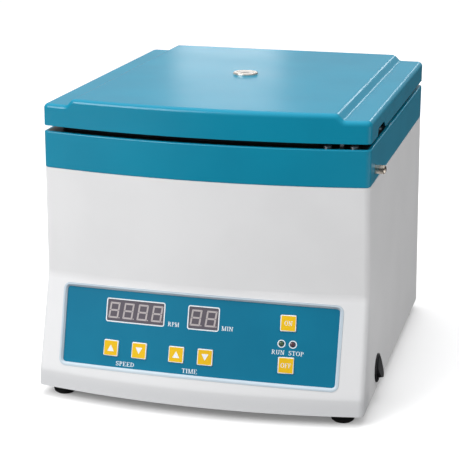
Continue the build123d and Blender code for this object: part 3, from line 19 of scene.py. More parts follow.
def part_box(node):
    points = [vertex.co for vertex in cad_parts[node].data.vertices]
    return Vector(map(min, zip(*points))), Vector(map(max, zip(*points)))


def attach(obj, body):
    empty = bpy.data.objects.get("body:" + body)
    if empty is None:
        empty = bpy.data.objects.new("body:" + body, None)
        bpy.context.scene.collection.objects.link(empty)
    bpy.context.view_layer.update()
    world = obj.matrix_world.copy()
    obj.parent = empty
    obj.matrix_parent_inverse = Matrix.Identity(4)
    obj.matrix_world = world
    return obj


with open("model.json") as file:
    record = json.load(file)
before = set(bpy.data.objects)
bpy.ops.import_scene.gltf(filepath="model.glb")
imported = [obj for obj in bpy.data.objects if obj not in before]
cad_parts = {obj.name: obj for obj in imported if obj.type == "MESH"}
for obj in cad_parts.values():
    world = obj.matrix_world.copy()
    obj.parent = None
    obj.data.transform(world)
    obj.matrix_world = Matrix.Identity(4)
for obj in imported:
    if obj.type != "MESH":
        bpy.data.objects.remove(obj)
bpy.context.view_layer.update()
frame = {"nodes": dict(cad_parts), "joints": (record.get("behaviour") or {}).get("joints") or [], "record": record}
nodes = frame["nodes"]
scene = bpy.context.scene
scene.view_settings.view_transform = "Standard"
mm = 0.001
micron = 0.001 * mm

# %% [markdown]
# ## The camera
#
# A long lens a little to the right of the front and a little above it makes the case look
# upright and calm, as in a catalogue.  The camera is placed by two points: where it stands and
# what it looks at.  A very small roll is all that remains of the tripod's tilt.

# %% Camera
CAMERA_PLACE = Vector((0.3204, -1.3006, 0.4942))
CAMERA_TARGET = Vector((-0.0193, 0.0111, 0.1117))
CAMERA_LENS = 116.6
CAMERA_ROLL = math.radians(0.316)
SENSOR_WIDTH = 36.0
NEAREST_SEEN = 50 * mm


def make_camera():
    data = bpy.data.cameras.new("studio_camera")
    data.lens = CAMERA_LENS
    data.sensor_width = SENSOR_WIDTH
    data.clip_start = NEAREST_SEEN
    camera = bpy.data.objects.new("studio_camera", data)
    scene.collection.objects.link(camera)
    look = (CAMERA_TARGET - CAMERA_PLACE).to_track_quat("-Z", "Y")
    camera.rotation_mode = "QUATERNION"
    camera.rotation_quaternion = look @ Matrix.Rotation(CAMERA_ROLL, 3, "Z").to_quaternion()
    camera.location = CAMERA_PLACE
    scene.camera = camera


make_camera()
print("camera to target", round((CAMERA_TARGET - CAMERA_PLACE).length, 3), "m")

# %% [markdown]
# ## Writing shaders as sums
#
# A node tree for one scratch or one speckle soon fills a page.  The class below wraps a node's
# output, so that `mask * 0.3 + 0.2` adds the two Math nodes by itself, and so does `1 - mask`.
# Only the operators that this scene uses are there.

# %% Wires


class Wire:
    """One output of a node.  Sums and products of wires and numbers add Math nodes."""

    def __init__(self, paint, socket):
        self.paint = paint
        self.socket = socket

    def maths(self, operation, first, second=0.0):
        settings = {"operation": operation}
        return self.paint.add("ShaderNodeMath", settings, {0: first, 1: second})[0]

    def __add__(self, other):
        return self.maths("ADD", self, other)

    def __sub__(self, other):
        return self.maths("SUBTRACT", self, other)

    def __rsub__(self, other):
        return self.maths("SUBTRACT", other, self)

    def __mul__(self, other):
        return self.maths("MULTIPLY", self, other)

    def __pow__(self, other):
        return self.maths("POWER", self, other)

    __radd__ = __add__
    __rmul__ = __mul__

    def less(self, other):
        """1 where this wire is under the other value, else 0."""
        return self.maths("LESS_THAN", self, other)

    def above(self, other):
        """1 where this wire is over the other value, else 0."""
        return self.maths("GREATER_THAN", self, other)

    def or_larger(self, other):
        return self.maths("MAXIMUM", self, other)

    def ramp(self, low, high):
        """Smooth step from 0 at low to 1 at high."""
        settings = {"interpolation_type": "SMOOTHSTEP"}
        return self.paint.add("ShaderNodeMapRange", settings, {0: self, 1: low, 2: high})[0]


class Node:
    """A node whose outputs are wires, by name or number."""

    def __init__(self, paint, node):
        self.paint = paint
        self.node = node

    def __getitem__(self, key):
        return Wire(self.paint, self.node.outputs[key])


print("a wire knows", [name for name in vars(Wire) if not name.startswith("_")])

# %% [markdown]
# ## One material, one method
#
# The second class holds the node tree of one material.  Every kind of node but Math comes from
# its one method `add`, which takes the node's type, its settings and what goes into its sockets.
# The few textures that the finishes share, such as noise and bump, are short calls of it.

# %% Paint


class Paint:
    """One material with a Principled shader, or another node tree that is handed in."""

    def __init__(self, name, tree=None):
        if tree is None:
            self.material = bpy.data.materials.new(name)
            self.material.use_nodes = True
            tree = self.material.node_tree
        tree.nodes.clear()
        self.tree = tree

    def add(self, kind, settings=None, sockets=None):
        """Adds a node: its settings first, then the values or wires of its sockets."""
        node = self.tree.nodes.new(kind)
        for name, value in (settings or {}).items():
            setattr(node, name, value)
        for key, value in (sockets or {}).items():
            if isinstance(value, Wire):
                self.tree.links.new(value.socket, node.inputs[key])
            else:
                node.inputs[key].default_value = value
        return Node(self, node)

    def place(self):
        """Coordinates on the piece, in metres; they travel with it when it moves."""
        return self.add("ShaderNodeTexCoord")["Object"]

    def axes(self):
        """The three coordinates of the place."""
        apart = self.add("ShaderNodeSeparateXYZ", None, {0: self.place()})
        return apart[0], apart[1], apart[2]

    def noise(self, size, detail=2.0, stretch=(1, 1, 1)):
        """Soft random pattern whose blobs are about size metres across, from 0 to 1."""
        scaled = self.add("ShaderNodeVectorMath", {"operation": "MULTIPLY"},
                          {0: self.place(), 1: stretch})[0]
        return self.add("ShaderNodeTexNoise", None,
                        {"Vector": scaled, "Scale": 1 / size, "Detail": detail})["Fac"]

    def mix(self, mask, first, second):
        """Colour that is first where the mask is 0 and second where it is 1."""
        return self.add("ShaderNodeMix", {"data_type": "RGBA"}, {0: mask, 6: first, 7: second})[2]

    def bump(self, height, distance):
        """Normal of a skin whose height from 0 to 1 stands for this distance."""
        sockets = {"Height": height, "Distance": distance, "Strength": 1.0}
        return self.add("ShaderNodeBump", None, sockets)["Normal"]

    def finish(self, **sockets):
        """Principled shader with these sockets, wired to the output."""
        named = {key.replace("_", " ").title(): value for key, value in sockets.items()}
        named = {SOCKET_NAMES.get(key, key): value for key, value in named.items()}
        shader = self.add("ShaderNodeBsdfPrincipled", None, named)
        self.add("ShaderNodeOutputMaterial", None, {"Surface": shader["BSDF"]})
        return self.material


SOCKET_NAMES = {"Specular": "Specular IOR Level"}
print("a paint knows", [name for name in vars(Paint) if not name.startswith("_")])

# %% [markdown]
# ## Inks
#
# A colour is easiest to judge as it looks on a screen, from 0 to 255, while a shader counts
# light.  The sRGB curve turns the one into the other.

# %% Inks


def ink(red, green, blue):
    """Colour given as it looks on a screen, 0 to 255, turned into scene light."""

    def linear(value):
        value /= 255
        return value / 12.92 if value <= 0.04045 else ((value + 0.055) / 1.055) ** 2.4

    return (linear(red), linear(green), linear(blue), 1.0)


print("ink(128, 128, 128) is", [round(v, 3) for v in ink(128, 128, 128)])

# %% [markdown]
# ## The studio
#
# The camera sees a white room.  The case itself is lit by an even world, by a key softbox at the
# front left, by a large one overhead and by a weak one on the right.  Its shine shows another
# room: dark in front and to the right, pale behind and overhead.  The Light Path node tells the
# rays apart, so one world can be all three rooms at once, and no light is spent on the backdrop.

# %% The white room
WORLD_LIGHT = 0.84
SHINE_DARK = 0.05
SHINE_BACK = 0.42
SHINE_TOP = 0.60
# parts of the room, by how far a ray points back, to the right or up
TOWARDS_BACK = (0.1, 0.8)
TOWARDS_RIGHT = (0.0, 0.5)
TOWARDS_TOP = (0.5, 0.85)


def kind_of_ray(paint):
    """Masks: 1 for rays from the camera or through glass, and 1 for rays from a shiny surface."""
    path = paint.add("ShaderNodeLightPath")
    seen = path["Is Camera Ray"].or_larger(path["Is Transmission Ray"])
    return seen, path["Is Glossy Ray"]


def choose(mask, off, on):
    """Value that is off where the mask is 0 and on where it is 1."""
    return mask * on + (1 - mask) * off


def make_world():
    world = bpy.data.worlds.new("white_room")
    world.use_nodes = True
    paint = Paint("white_room", world.node_tree)
    seen, shine = kind_of_ray(paint)
    direction = paint.add("ShaderNodeTexCoord")["Generated"]
    towards = paint.add("ShaderNodeSeparateXYZ", None, {0: direction})
    behind = towards[1].ramp(*TOWARDS_BACK) * (1 - towards[0].ramp(*TOWARDS_RIGHT))
    overhead = towards[2].ramp(*TOWARDS_TOP)
    shown = behind * (SHINE_BACK - SHINE_DARK) + overhead * SHINE_TOP + SHINE_DARK
    level = choose(seen, choose(shine, WORLD_LIGHT, shown), 1.0)
    background = paint.add("ShaderNodeBackground", None, {"Color": (1, 1, 1, 1), "Strength": level})
    paint.add("ShaderNodeOutputWorld", None, {"Surface": background["Background"]})
    scene.world = world


make_world()
print("world", scene.world.name, "with", len(scene.world.node_tree.nodes), "nodes")

# %% [markdown]
# ## The paper floor
#
# The case stands on white paper, which lifts its own white a little for the camera only, so that
# the soft shadow under the case stays.  In the shine of the case the paper is dark, but for a
# white card on the right, which brightens the lower right side, and a weaker one on the front
# left.  The cards are soft-edged masks in the floor's shader, so nothing more has to be lit.

# %% Floor
FLOOR_HALF = 6.0
FLOOR_WHITE = 0.86
FLOOR_LIFT = 0.16
FLOOR_BOUNCE = 0.05
FLOOR_SHINE = 0.06
RIGHT_CARD = 0.75
RIGHT_CARD_SIDE, RIGHT_CARD_BACK, RIGHT_CARD_FRONT = (0.15, 0.35), (0.35, 0.05), (-0.9, -0.6)
LEFT_CARD = 0.40
LEFT_CARD_SIDE, LEFT_CARD_BACK = (-0.2, -0.75), (-0.1, -0.4)
PAPER_GRAIN = 4 * mm
PAPER_WARMTH = 0.01


def make_floor():
    paint = Paint("white_paper")
    seen, shine = kind_of_ray(paint)
    x, y, _ = paint.axes()
    right_card = x.ramp(*RIGHT_CARD_SIDE) * y.ramp(*RIGHT_CARD_BACK) * y.ramp(*RIGHT_CARD_FRONT)
    left_card = x.ramp(*LEFT_CARD_SIDE) * y.ramp(*LEFT_CARD_BACK)
    shown = right_card * RIGHT_CARD + left_card * LEFT_CARD + FLOOR_SHINE
    white = choose(seen, choose(shine, FLOOR_BOUNCE, shown), FLOOR_WHITE)
    blue = white * (paint.noise(PAPER_GRAIN) * PAPER_WARMTH + 1.0)
    paper = paint.add("ShaderNodeCombineXYZ", None, {0: white, 1: white, 2: blue})
    matt = paint.add("ShaderNodeBsdfDiffuse", None, {"Color": paper[0]})
    glow = paint.add("ShaderNodeEmission", None, {"Strength": seen * FLOOR_LIFT})
    both = paint.add("ShaderNodeAddShader", None, {0: matt["BSDF"], 1: glow["Emission"]})
    paint.add("ShaderNodeOutputMaterial", None, {"Surface": both["Shader"]})
    mesh = bpy.data.meshes.new("floor")
    corners = [(x * FLOOR_HALF, y * FLOOR_HALF, 0) for x, y in ((-1, -1), (1, -1), (1, 1), (-1, 1))]
    mesh.from_pydata(corners, [], [(0, 1, 2, 3)])
    mesh.materials.append(paint.material)
    floor = bpy.data.objects.new("floor", mesh)
    scene.collection.objects.link(floor)


make_floor()
print("floor", 2 * FLOOR_HALF, "m wide")

# %% [markdown]
# ## Softboxes
#
# Area lights make the soft shadows of a studio.  The key stands at the front left, the largest
# one hangs overhead and a weaker one fills the right side.  Two small bright panels far behind
# only draw highlights: a line along the lid's edges and the soft band on its top.  The overhead
# and the side light are hidden from shiny surfaces, which would show them as white patches.

# %% Softboxes
SOFTBOXES = {
    # place, aimed at, width, height, watts
    "key_box": ((-1.5, -1.9, 1.7), (0, 0, 0.12), 1.6, 1.4, 50.0),
    "top_box": ((-0.3, 0.3, 2.4), (0, 0, 0.2), 2.2, 2.2, 27.0),
    "side_box": ((2.6, -0.1, 1.0), (0, 0, 0.12), 1.0, 1.2, 8.5),
    "edge_box": ((0.25, 2.3, 0.90), (0.1, 0, 0.25), 0.18, 0.2, 0.7),
    "band_box": ((-0.62, 2.3, 0.55), (-0.06, 0.1, 0.26), 0.26, 0.22, 0.34),
}
HIDDEN_FROM_SHINE = ("top_box", "side_box")


def make_softbox(name, place, aim, width, height, watts):
    data = bpy.data.lights.new(name, "AREA")
    data.shape = "RECTANGLE"
    data.size = width
    data.size_y = height
    data.energy = watts
    lamp = bpy.data.objects.new(name, data)
    lamp.location = place
    lamp.rotation_euler = (Vector(aim) - Vector(place)).to_track_quat("-Z", "Y").to_euler()
    lamp.visible_camera = False
    lamp.visible_glossy = name not in HIDDEN_FROM_SHINE
    scene.collection.objects.link(lamp)


for name, setting in SOFTBOXES.items():
    make_softbox(name, *setting)
print(len(SOFTBOXES), "softboxes")

# %% [markdown]
# ## Mouldings
#
# The case and the lid are moulded plastic.  Up close such a skin is never quite smooth: it has a
# fine orange-peel ripple and its shine varies a little where hands and cloths have been.  Noise
# of three sizes does this: millimetres for the ripple, centimetres for the shine and the tone.
# The noise of the shine has no fine detail, because its edges would show on the glossy lid.

# %% Moulded plastic
PATCH_SIZE = 70 * mm
WIPED_SIZE = 50 * mm
WIPED_RANGE = 0.05
# black of the painted shade on the collar's deck and in the pocket of the lid's notch
SHADE_BLACK = ink(10, 12, 14)


def moulding(name, colour, shade, shine=0.34, ripple=30 * micron, ripple_size=1.6 * mm, specular=0.4,
             dark=None, shade_ink=SHADE_BLACK):
    """Moulded plastic: shade is the tone of its broad patches; dark marks where shade is painted, in its own dark
    ink.
    """
    paint = Paint(name)
    patches = paint.noise(PATCH_SIZE, 3.0).ramp(0.3, 0.7)
    tone = paint.mix(patches, colour, shade)
    # painted shade: where the mask is 1 the moulding takes the dark ink
    if dark is not None:
        tone = paint.mix(dark(paint), tone, shade_ink)
    wiped = paint.noise(WIPED_SIZE, 0.0)
    peel = paint.noise(ripple_size, 2.0)
    return paint.finish(
        base_color=tone,
        roughness=wiped * WIPED_RANGE + (shine - WIPED_RANGE / 2),
        normal=paint.bump(peel, ripple),
        specular=specular,
    )


print("a wiped patch changes the shine by", WIPED_RANGE)

# %% [markdown]
# ## Places with painted shade
#
# Three places have painted shade in the colour of their moulding.  The collar's deck lies in the dark under
# the lid and is painted black, the pocket behind the finger notch is painted black where shade falls, and the
# case's toe is painted a little greyer, as shade near the floor.
# Each is a mask made of comparisons of the place, so the mesh needs no second material.

# %% Masks of the painted shade on the deck, the notch and the toe
BOW_RADIUS = 660.8 * mm
RIM = 3.0 * mm
DECK_BELOW_RIM = 6 * mm
NOTCH_CORNER = 15 * mm
NOTCH_REACH = (31 * mm, 78 * mm)
NOTCH_DEPTH = 12.5 * mm
NOTCH_SKIN = 0.5 * mm
NOTCH_HEIGHT = 8 * mm
TOE_FORWARD = (-0.125, -0.145)
UNDER_BROW = (0.112, 0.098)
UNDER_PANEL = (0.030, 0.016)


def shaded_deck(paint):
    """Painted shade: the collar's deck inside its rim is painted black, as it lies in the dark under the closed
    lid.
    """
    low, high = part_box("collar")
    x, y, z = paint.axes()
    across = x - (low.x + high.x) / 2
    back = y - (low.y + BOW_RADIUS)
    from_centre = (across * across + back * back) ** 0.5
    half_width = high.x / 2 - low.x / 2 - RIM
    inside = from_centre.less(BOW_RADIUS - RIM) * (across * across).less(half_width ** 2)
    return inside * z.above(high.z - DECK_BELOW_RIM)


def shaded_notch(paint):
    """Painted shade: the pocket behind the finger notch in the lid's right skirt is painted black, as shade falls
    in it.
    """
    low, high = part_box("lid_cover")
    x, y, z = paint.axes()
    corner = low.y + NOTCH_CORNER
    pocket = x.above(high.x - NOTCH_DEPTH) * x.less(high.x - NOTCH_SKIN) * z.less(low.z + NOTCH_HEIGHT)
    return pocket * y.above(corner + NOTCH_REACH[0]) * y.less(corner + NOTCH_REACH[1])


def shaded_toe(paint):
    """Painted shade: the case's toe under the brow, and most of all the lip under the panel, is painted a little
    greyer.
    """
    _, y, z = paint.axes()
    return y.ramp(*TOE_FORWARD) * (z.ramp(*UNDER_BROW) * 0.5 + z.ramp(*UNDER_PANEL) * 0.5)


print("deck", DECK_BELOW_RIM / mm, "mm deep, notch", NOTCH_HEIGHT / mm, "mm high")

# %% [markdown]
# ## The plastics of this machine
#
# A lid is polished more than a case, and a printed film has hardly any ripple.  So one function
# gives them all, and each moulding says only its two tones and how it differs.

# %% Plastics
# painted shade: the case's toe and the lip under the panel are painted a little greyer
white_moulding = moulding("white_moulding", ink(241, 241, 242), ink(237, 237, 238), shine=0.42,
                          dark=shaded_toe, shade_ink=ink(217, 218, 220))
TEAL = (ink(4, 139, 170), ink(3, 134, 165))
# painted shade: the collar's deck and the pocket of the lid's notch are painted black
teal_collar = moulding("teal_collar", *TEAL, shine=0.30, specular=0.45, dark=shaded_deck)
teal_lid = moulding("teal_lid", *TEAL, shine=0.25, ripple=8 * micron, specular=0.45, dark=shaded_notch)
liner_moulding = moulding("liner_moulding", ink(214, 218, 220), ink(206, 210, 212), shine=0.5)
rim_moulding = moulding("rim_moulding", ink(200, 213, 222), ink(192, 206, 217), shine=0.3)
film_print = moulding("film_print", ink(10, 120, 153), ink(6, 114, 147), shine=0.38,
                      ripple=12 * micron, ripple_size=0.8 * mm, specular=0.2)
black_moulding = moulding("black_moulding", ink(34, 35, 38), ink(28, 29, 31), shine=0.3)
funnel_moulding = moulding("funnel_moulding", ink(238, 239, 236), ink(230, 231, 228), shine=0.45)
white_ink = moulding("white_ink", ink(240, 243, 245), ink(232, 236, 240), shine=0.5, ripple=10 * micron)
key_yellow = moulding("key_yellow", ink(241, 196, 8), ink(231, 183, 6), ripple_size=0.9 * mm)
print(len(bpy.data.materials), "materials so far")

# %% [markdown]
# ## Smoked windows and unlit digits
#
# The displays are red-light modules behind grey film.  Unlit, the film is a warm dark grey with
# a faint cloud in it, and the segments show through as pale bars.  The film is opaque here, with
# the bars on its front: one that really lets light through takes long and shows no more.

# %% Display film and segments


def smoked_film():
    paint = Paint("smoked_film")
    cloud = paint.noise(6 * mm, 3.0)
    return paint.finish(
        base_color=paint.mix(cloud, ink(104, 98, 106), ink(94, 89, 98)),
        roughness=paint.noise(10 * mm) * 0.04 + 0.22,
        normal=paint.bump(paint.noise(0.9 * mm), 8 * micron),
    )


def segment_white():
    paint = Paint("segment_white")
    return paint.finish(
        base_color=paint.mix(paint.noise(2 * mm), ink(188, 180, 180), ink(176, 168, 170)),
        roughness=0.5,
    )


window_film = smoked_film()
segment_paint = segment_white()
print("made", window_film.name, "and", segment_paint.name)

# %% [markdown]
# ## Lamp lenses
#
# Both lamps are off, so no light comes from them.  A tinted dome looks darker towards its rim,
# where one looks through more of it, and paler in the middle, where the chip sits.  The Layer
# Weight node knows how far a surface turns away from the eye, and mixes the two colours by it.

# %% Lamp lenses


def lamp_lens(name, colour, core):
    """Tinted lamp dome: darker at its rim, a paler core where the chip sits."""
    paint = Paint(name)
    rim = paint.add("ShaderNodeLayerWeight", None, {"Blend": 0.35})["Facing"]
    speckle = paint.noise(0.9 * mm, 3.0)
    return paint.finish(
        base_color=paint.mix(rim * 0.9 + speckle * 0.15, core, colour),
        roughness=speckle * 0.1 + 0.12,
        coat_weight=0.6,
    )


green_lens = lamp_lens("green_lens", ink(30, 44, 34), ink(70, 98, 72))
red_lens = lamp_lens("red_lens", ink(40, 24, 30), ink(92, 62, 70))
print("made", green_lens.name, "and", red_lens.name)

# %% [markdown]
# ## Rubber, paper and frosted glass
#
# Three matt materials.  Rubber gets a grey bloom in patches, blotting paper has soft fibres that
# lie along one direction, and the end of a slide is blasted with sand so that a pencil writes on
# it.  In paper and frosted glass one noise drives both the tone and the height.

# %% Matt materials


def rubber():
    paint = Paint("black_rubber")
    bloom = paint.noise(12 * mm, 4.0).ramp(0.4, 0.8)
    return paint.finish(
        base_color=paint.mix(bloom, ink(26, 26, 27), ink(38, 38, 40)),
        roughness=paint.noise(3 * mm) * 0.15 + 0.6,
        normal=paint.bump(paint.noise(0.6 * mm, 3.0), 80 * micron),
    )


def paper():
    """Blotting paper: matt, with soft fibres that give it a slight tooth."""
    paint = Paint("blotting_paper")
    fibres = paint.noise(0.5 * mm, 5.0, (1, 1, 0.4))
    return paint.finish(
        base_color=paint.mix(fibres, ink(244, 242, 234), ink(226, 223, 212)),
        roughness=0.9,
        normal=paint.bump(fibres, 50 * micron),
    )


def frosted():
    """Sand-blasted end of a slide: white and finely rough."""
    paint = Paint("frosted_end")
    grit = paint.noise(0.3 * mm, 4.0)
    return paint.finish(
        base_color=paint.mix(grit, ink(236, 240, 240), ink(222, 228, 228)),
        roughness=grit * 0.1 + 0.62,
        normal=paint.bump(grit, 20 * micron),
    )


blotting_paper = paper()
frosted_end = frosted()
black_rubber = rubber()
print("made", blotting_paper.name, frosted_end.name, "and", black_rubber.name)

# %% [markdown]
# ## Metals
#
# Sheet steel keeps the grain of the belt that finished it, so its noise is squeezed hard along
# one axis and leaves long streaks across it.  Turned parts are plated: almost a mirror, with a
# few soft marks.  Paint on the hidden steel is a fine powder coat.

# %% Metals


def brushed(name, colour, shade, stretch=(1, 1, 14), shine=0.34):
    """Ground metal: stretch squeezes the grain along one axis, shine is its middle roughness."""
    paint = Paint(name)
    grain = paint.noise(1.2 * mm, 3.0, stretch)
    marks = paint.noise(20 * mm, 4.0).ramp(0.45, 0.75)
    return paint.finish(
        base_color=paint.mix(grain, colour, shade),
        metallic=1.0,
        roughness=grain * 0.12 + marks * 0.08 + (shine - 0.06),
        normal=paint.bump(grain, 10 * micron),
    )


def plated(name, colour, shade, metal=1.0):
    """Plating: a metal under 1 is paler, because it also scatters some of the room's light."""
    paint = Paint(name)
    marks = paint.noise(4 * mm, 4.0).ramp(0.5, 0.8)
    return paint.finish(
        base_color=paint.mix(marks, colour, shade),
        metallic=metal,
        roughness=marks * 0.14 + 0.2,
        normal=paint.bump(paint.noise(1 * mm), 6 * micron),
    )


def powder_coat():
    paint = Paint("powder_coat")
    return paint.finish(
        base_color=paint.mix(paint.noise(30 * mm, 3.0), ink(150, 152, 154), ink(142, 144, 147)),
        roughness=paint.noise(4 * mm) * 0.1 + 0.5,
        normal=paint.bump(paint.noise(0.8 * mm, 2.0), 60 * micron),
    )


satin_steel = brushed("satin_steel", ink(196, 197, 199), ink(174, 175, 178))
rotor_alloy = brushed("rotor_alloy", ink(190, 193, 198), ink(172, 175, 181), (1, 1, 3), 0.4)
iron_core = brushed("iron_core", ink(96, 96, 99), ink(78, 78, 82), (1, 1, 30), 0.5)
nickel = plated("nickel", ink(226, 214, 200), ink(200, 186, 170))
white_nickel = plated("white_nickel", ink(246, 239, 230), ink(226, 217, 206), 0.8)
bright_brass = plated("bright_brass", ink(206, 178, 112), ink(188, 158, 92))
steel_paint = powder_coat()
print(len(bpy.data.materials), "materials so far")

# %% [markdown]
# ## Glass and circuit boards
#
# Clear glass needs many bounces of light, so the glass here is a pale, shiny surface that lets a
# part of the view through.  The speed port lets through almost nothing: a round warm brown spot in its
# middle is a painted reflection and shade.  The circuit boards have copper tracks under
# green lacquer, which a brick pattern suggests well enough behind the panel.

# %% Glass and board
REFLECTION_EDGE = (6 * mm, 2.5 * mm)  # radii between which the painted reflection and shade comes in
REFLECTION_FORWARD = 1.5 * mm
TRACK_SCALE = 90.0
TRACK_GAP = 0.01


def port_glass():
    """Glass of the speed port: pale, with a painted warm reflection and shade in its middle."""
    paint = Paint("port_glass")
    low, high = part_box("sight_glass")
    x, y, _ = paint.axes()
    across = x - (low.x + high.x) / 2
    behind = y - ((low.y + high.y) / 2 - REFLECTION_FORWARD)
    # painted reflection and shade: a warm brown spot a little forward of the port's middle
    reflection_spot = ((across * across + behind * behind) ** 0.5).ramp(*REFLECTION_EDGE)
    dust = paint.noise(2 * mm, 4.0).ramp(0.55, 0.8)
    pane = paint.mix(dust, ink(238, 234, 230), ink(248, 246, 244))
    return paint.finish(
        base_color=paint.mix(reflection_spot, pane, ink(104, 72, 50)),
        roughness=dust * 0.12 + 0.05,
        alpha=dust * 0.05 + 0.93,
        coat_weight=1.0,
    )


def slide_glass():
    """Glass of a slide: mostly seen through, with a smear that is a little less clear."""
    paint = Paint("slide_glass")
    smear = paint.noise(6 * mm, 4.0, (1, 1, 0.3)).ramp(0.5, 0.8)
    return paint.finish(
        base_color=paint.mix(smear, ink(214, 232, 228), ink(228, 238, 236)),
        roughness=smear * 0.1 + 0.04,
        alpha=smear * 0.12 + 0.34,
        coat_weight=1.0,
    )


def board_green():
    paint = Paint("board_green")
    sockets = {"Vector": paint.place(), "Scale": TRACK_SCALE, "Mortar Size": TRACK_GAP}
    tracks = paint.add("ShaderNodeTexBrick", {"offset": 0.3}, sockets)["Fac"]
    return paint.finish(
        base_color=paint.mix(tracks, ink(28, 92, 52), ink(58, 128, 78)),
        roughness=paint.noise(4 * mm) * 0.1 + 0.35,
    )


window_glass = port_glass()
clear_glass = slide_glass()
green_board = board_green()
print(len(bpy.data.materials), "materials in all")

# %% [markdown]
# ## A finish for every engineering node
#
# The record says which slot each node belongs to, and a dictionary says which finish that slot
# takes, so a loop dresses them all.  Two nodes differ from the rest of their slot: the collar is
# a little less polished than the lid, and the ring round the port has a paler plating.

# %% Give each engineering node its finish
FINISHES = {
    "white_shell": white_moulding,
    "teal_shell": teal_lid,
    "liner": liner_moulding,
    "bezel": rim_moulding,
    "overlay": film_print,
    "display_window": window_film,
    "key_yellow": white_ink,
    "lamp_green": green_lens,
    "lamp_red": red_lens,
    "black_plastic": black_moulding,
    "black_rubber": black_rubber,
    "base_paint": steel_paint,
    "bright_steel": satin_steel,
    "bright_plate": nickel,
    "sight_glass": window_glass,
    "rotor_alloy": rotor_alloy,
    "iron_core": iron_core,
    "funnel_plastic": funnel_moulding,
    "circuit_board": green_board,
    "pin_brass": bright_brass,
}

for entry in frame["record"]["subparts"]:
    piece = nodes[entry["node"]]
    piece.data.materials.clear()
    piece.data.materials.append(FINISHES[entry["material_slot"]])
nodes["collar"].data.materials[0] = teal_collar
nodes["sight_ring"].data.materials[0] = white_nickel

# %% [markdown]
# ## Printing on a curved panel
#
# The panel is laid out flat, x to the right from the middle of the case and up from the bend
# below it, and then pressed onto the bowed front.  Each printed shape is drawn flat, and every
# one of its points is sent along the panel's normal until it meets the engineering surface.  An
# image texture would do it too, but it needs a file and blurs up close, and shapes stay sharp.

# %% Where the panel lies
SILL_HEIGHT = 23.7 * mm
FILM_DEPTH = 1.8 * mm
REACH = 60 * mm
LEVELS = (0.08, 0.92)  # shares of the film's height between which its lean is measured


def tree_of(name):
    """Search tree over the faces of this engineering node."""
    mesh = nodes[name].data
    points = [vertex.co.copy() for vertex in mesh.vertices]
    return BVHTree.FromPolygons(points, [list(polygon.vertices) for polygon in mesh.polygons])


def middle_of_case():
    low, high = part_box("collar")
    return (low.x + high.x) / 2


MIDDLE = middle_of_case()
film_tree = tree_of("panel_overlay")


def panel_layout():
    """Origin, up direction and normal of the flat layout, from two points of the film."""
    low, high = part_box("panel_overlay")
    hits = []
    for share in LEVELS:
        start = Vector((MIDDLE, low.y - REACH, low.z + (high.z - low.z) * share))
        hits.append(film_tree.ray_cast(start, Vector((0, 1, 0)))[0])
    up = (hits[1] - hits[0]).normalized()
    normal = Vector((0, -up.z, up.y))
    face = hits[0] + normal * FILM_DEPTH
    origin = face - up * ((face.z - SILL_HEIGHT) / up.z)
    return origin, up, normal


PANEL_ORIGIN, PANEL_UP, PANEL_NORMAL = panel_layout()
print("panel leans back", round(math.degrees(math.atan2(PANEL_UP.y, PANEL_UP.z)), 2), "degrees")

# %% [markdown]
# ## Pressing a point onto a surface
#
# A search tree finds where a ray meets a mesh.  The ray starts well in front of the panel and
# runs along the panel's normal.  The point it finds is then lifted off the surface by the
# thickness of the ink, along the normal of the face that was hit.

# %% Press


def press(tree, x, up, lift):
    """Point on the tree's surface under the flat place (x, up), raised by lift."""
    flat = PANEL_ORIGIN + Vector((x, 0, 0)) + PANEL_UP * up
    hit, normal = tree.ray_cast(flat + PANEL_NORMAL * REACH, -PANEL_NORMAL)[:2]
    if hit is None:
        raise ValueError(f"nothing under {x:.4f}, {up:.4f}")
    return hit + normal * lift


print("middle of the film at height", round(press(film_tree, 0, 40 * mm, 0).z / mm, 1), "mm")

# %% [markdown]
# ## Printed shapes
#
# Ink has a thickness that catches no light, but a flat sheet of no thickness is a poor mesh.
# Each print is therefore a closed skin a twentieth of a millimetre thick, drawn as flat rings,
# bars and letters and thickened by a Solidify modifier.

# %% Making a print
INK_LIFT = 0.05 * mm
INK_THICKNESS = 0.05 * mm
SKIN_SHARE = 0.9  # of the lift at most, so that a skin never sinks into the surface


def make_print(name, points, faces, tree, body, material, slot, lift=INK_LIFT):
    """Presses a flat shape onto the tree and lets it ride on the body."""
    mesh = bpy.data.meshes.new(name)
    mesh.from_pydata([press(tree, x, up, lift) for x, up in points], [], faces)
    mesh.materials.append(material)
    piece = bpy.data.objects.new(name, mesh)
    scene.collection.objects.link(piece)
    skin = piece.modifiers.new("skin", "SOLIDIFY")
    skin.thickness = min(INK_THICKNESS, lift * SKIN_SHARE)
    skin.offset = -1.0
    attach(piece, body)


print("prints are", INK_THICKNESS / mm, "mm thick")

# %% [markdown]
# ## Rounded outlines
#
# Windows, lamps, key faces and slides all have a rounded rectangle for their outline, and a
# circle is one whose corners take up all of it.  Long sides are cut into short steps, so that
# the outline can follow the bow of the panel.

# %% Rounded outlines
CORNER_STEPS = 6
NEARLY_ROUND = 0.999  # keeps the ends of two corners of a circle from falling together


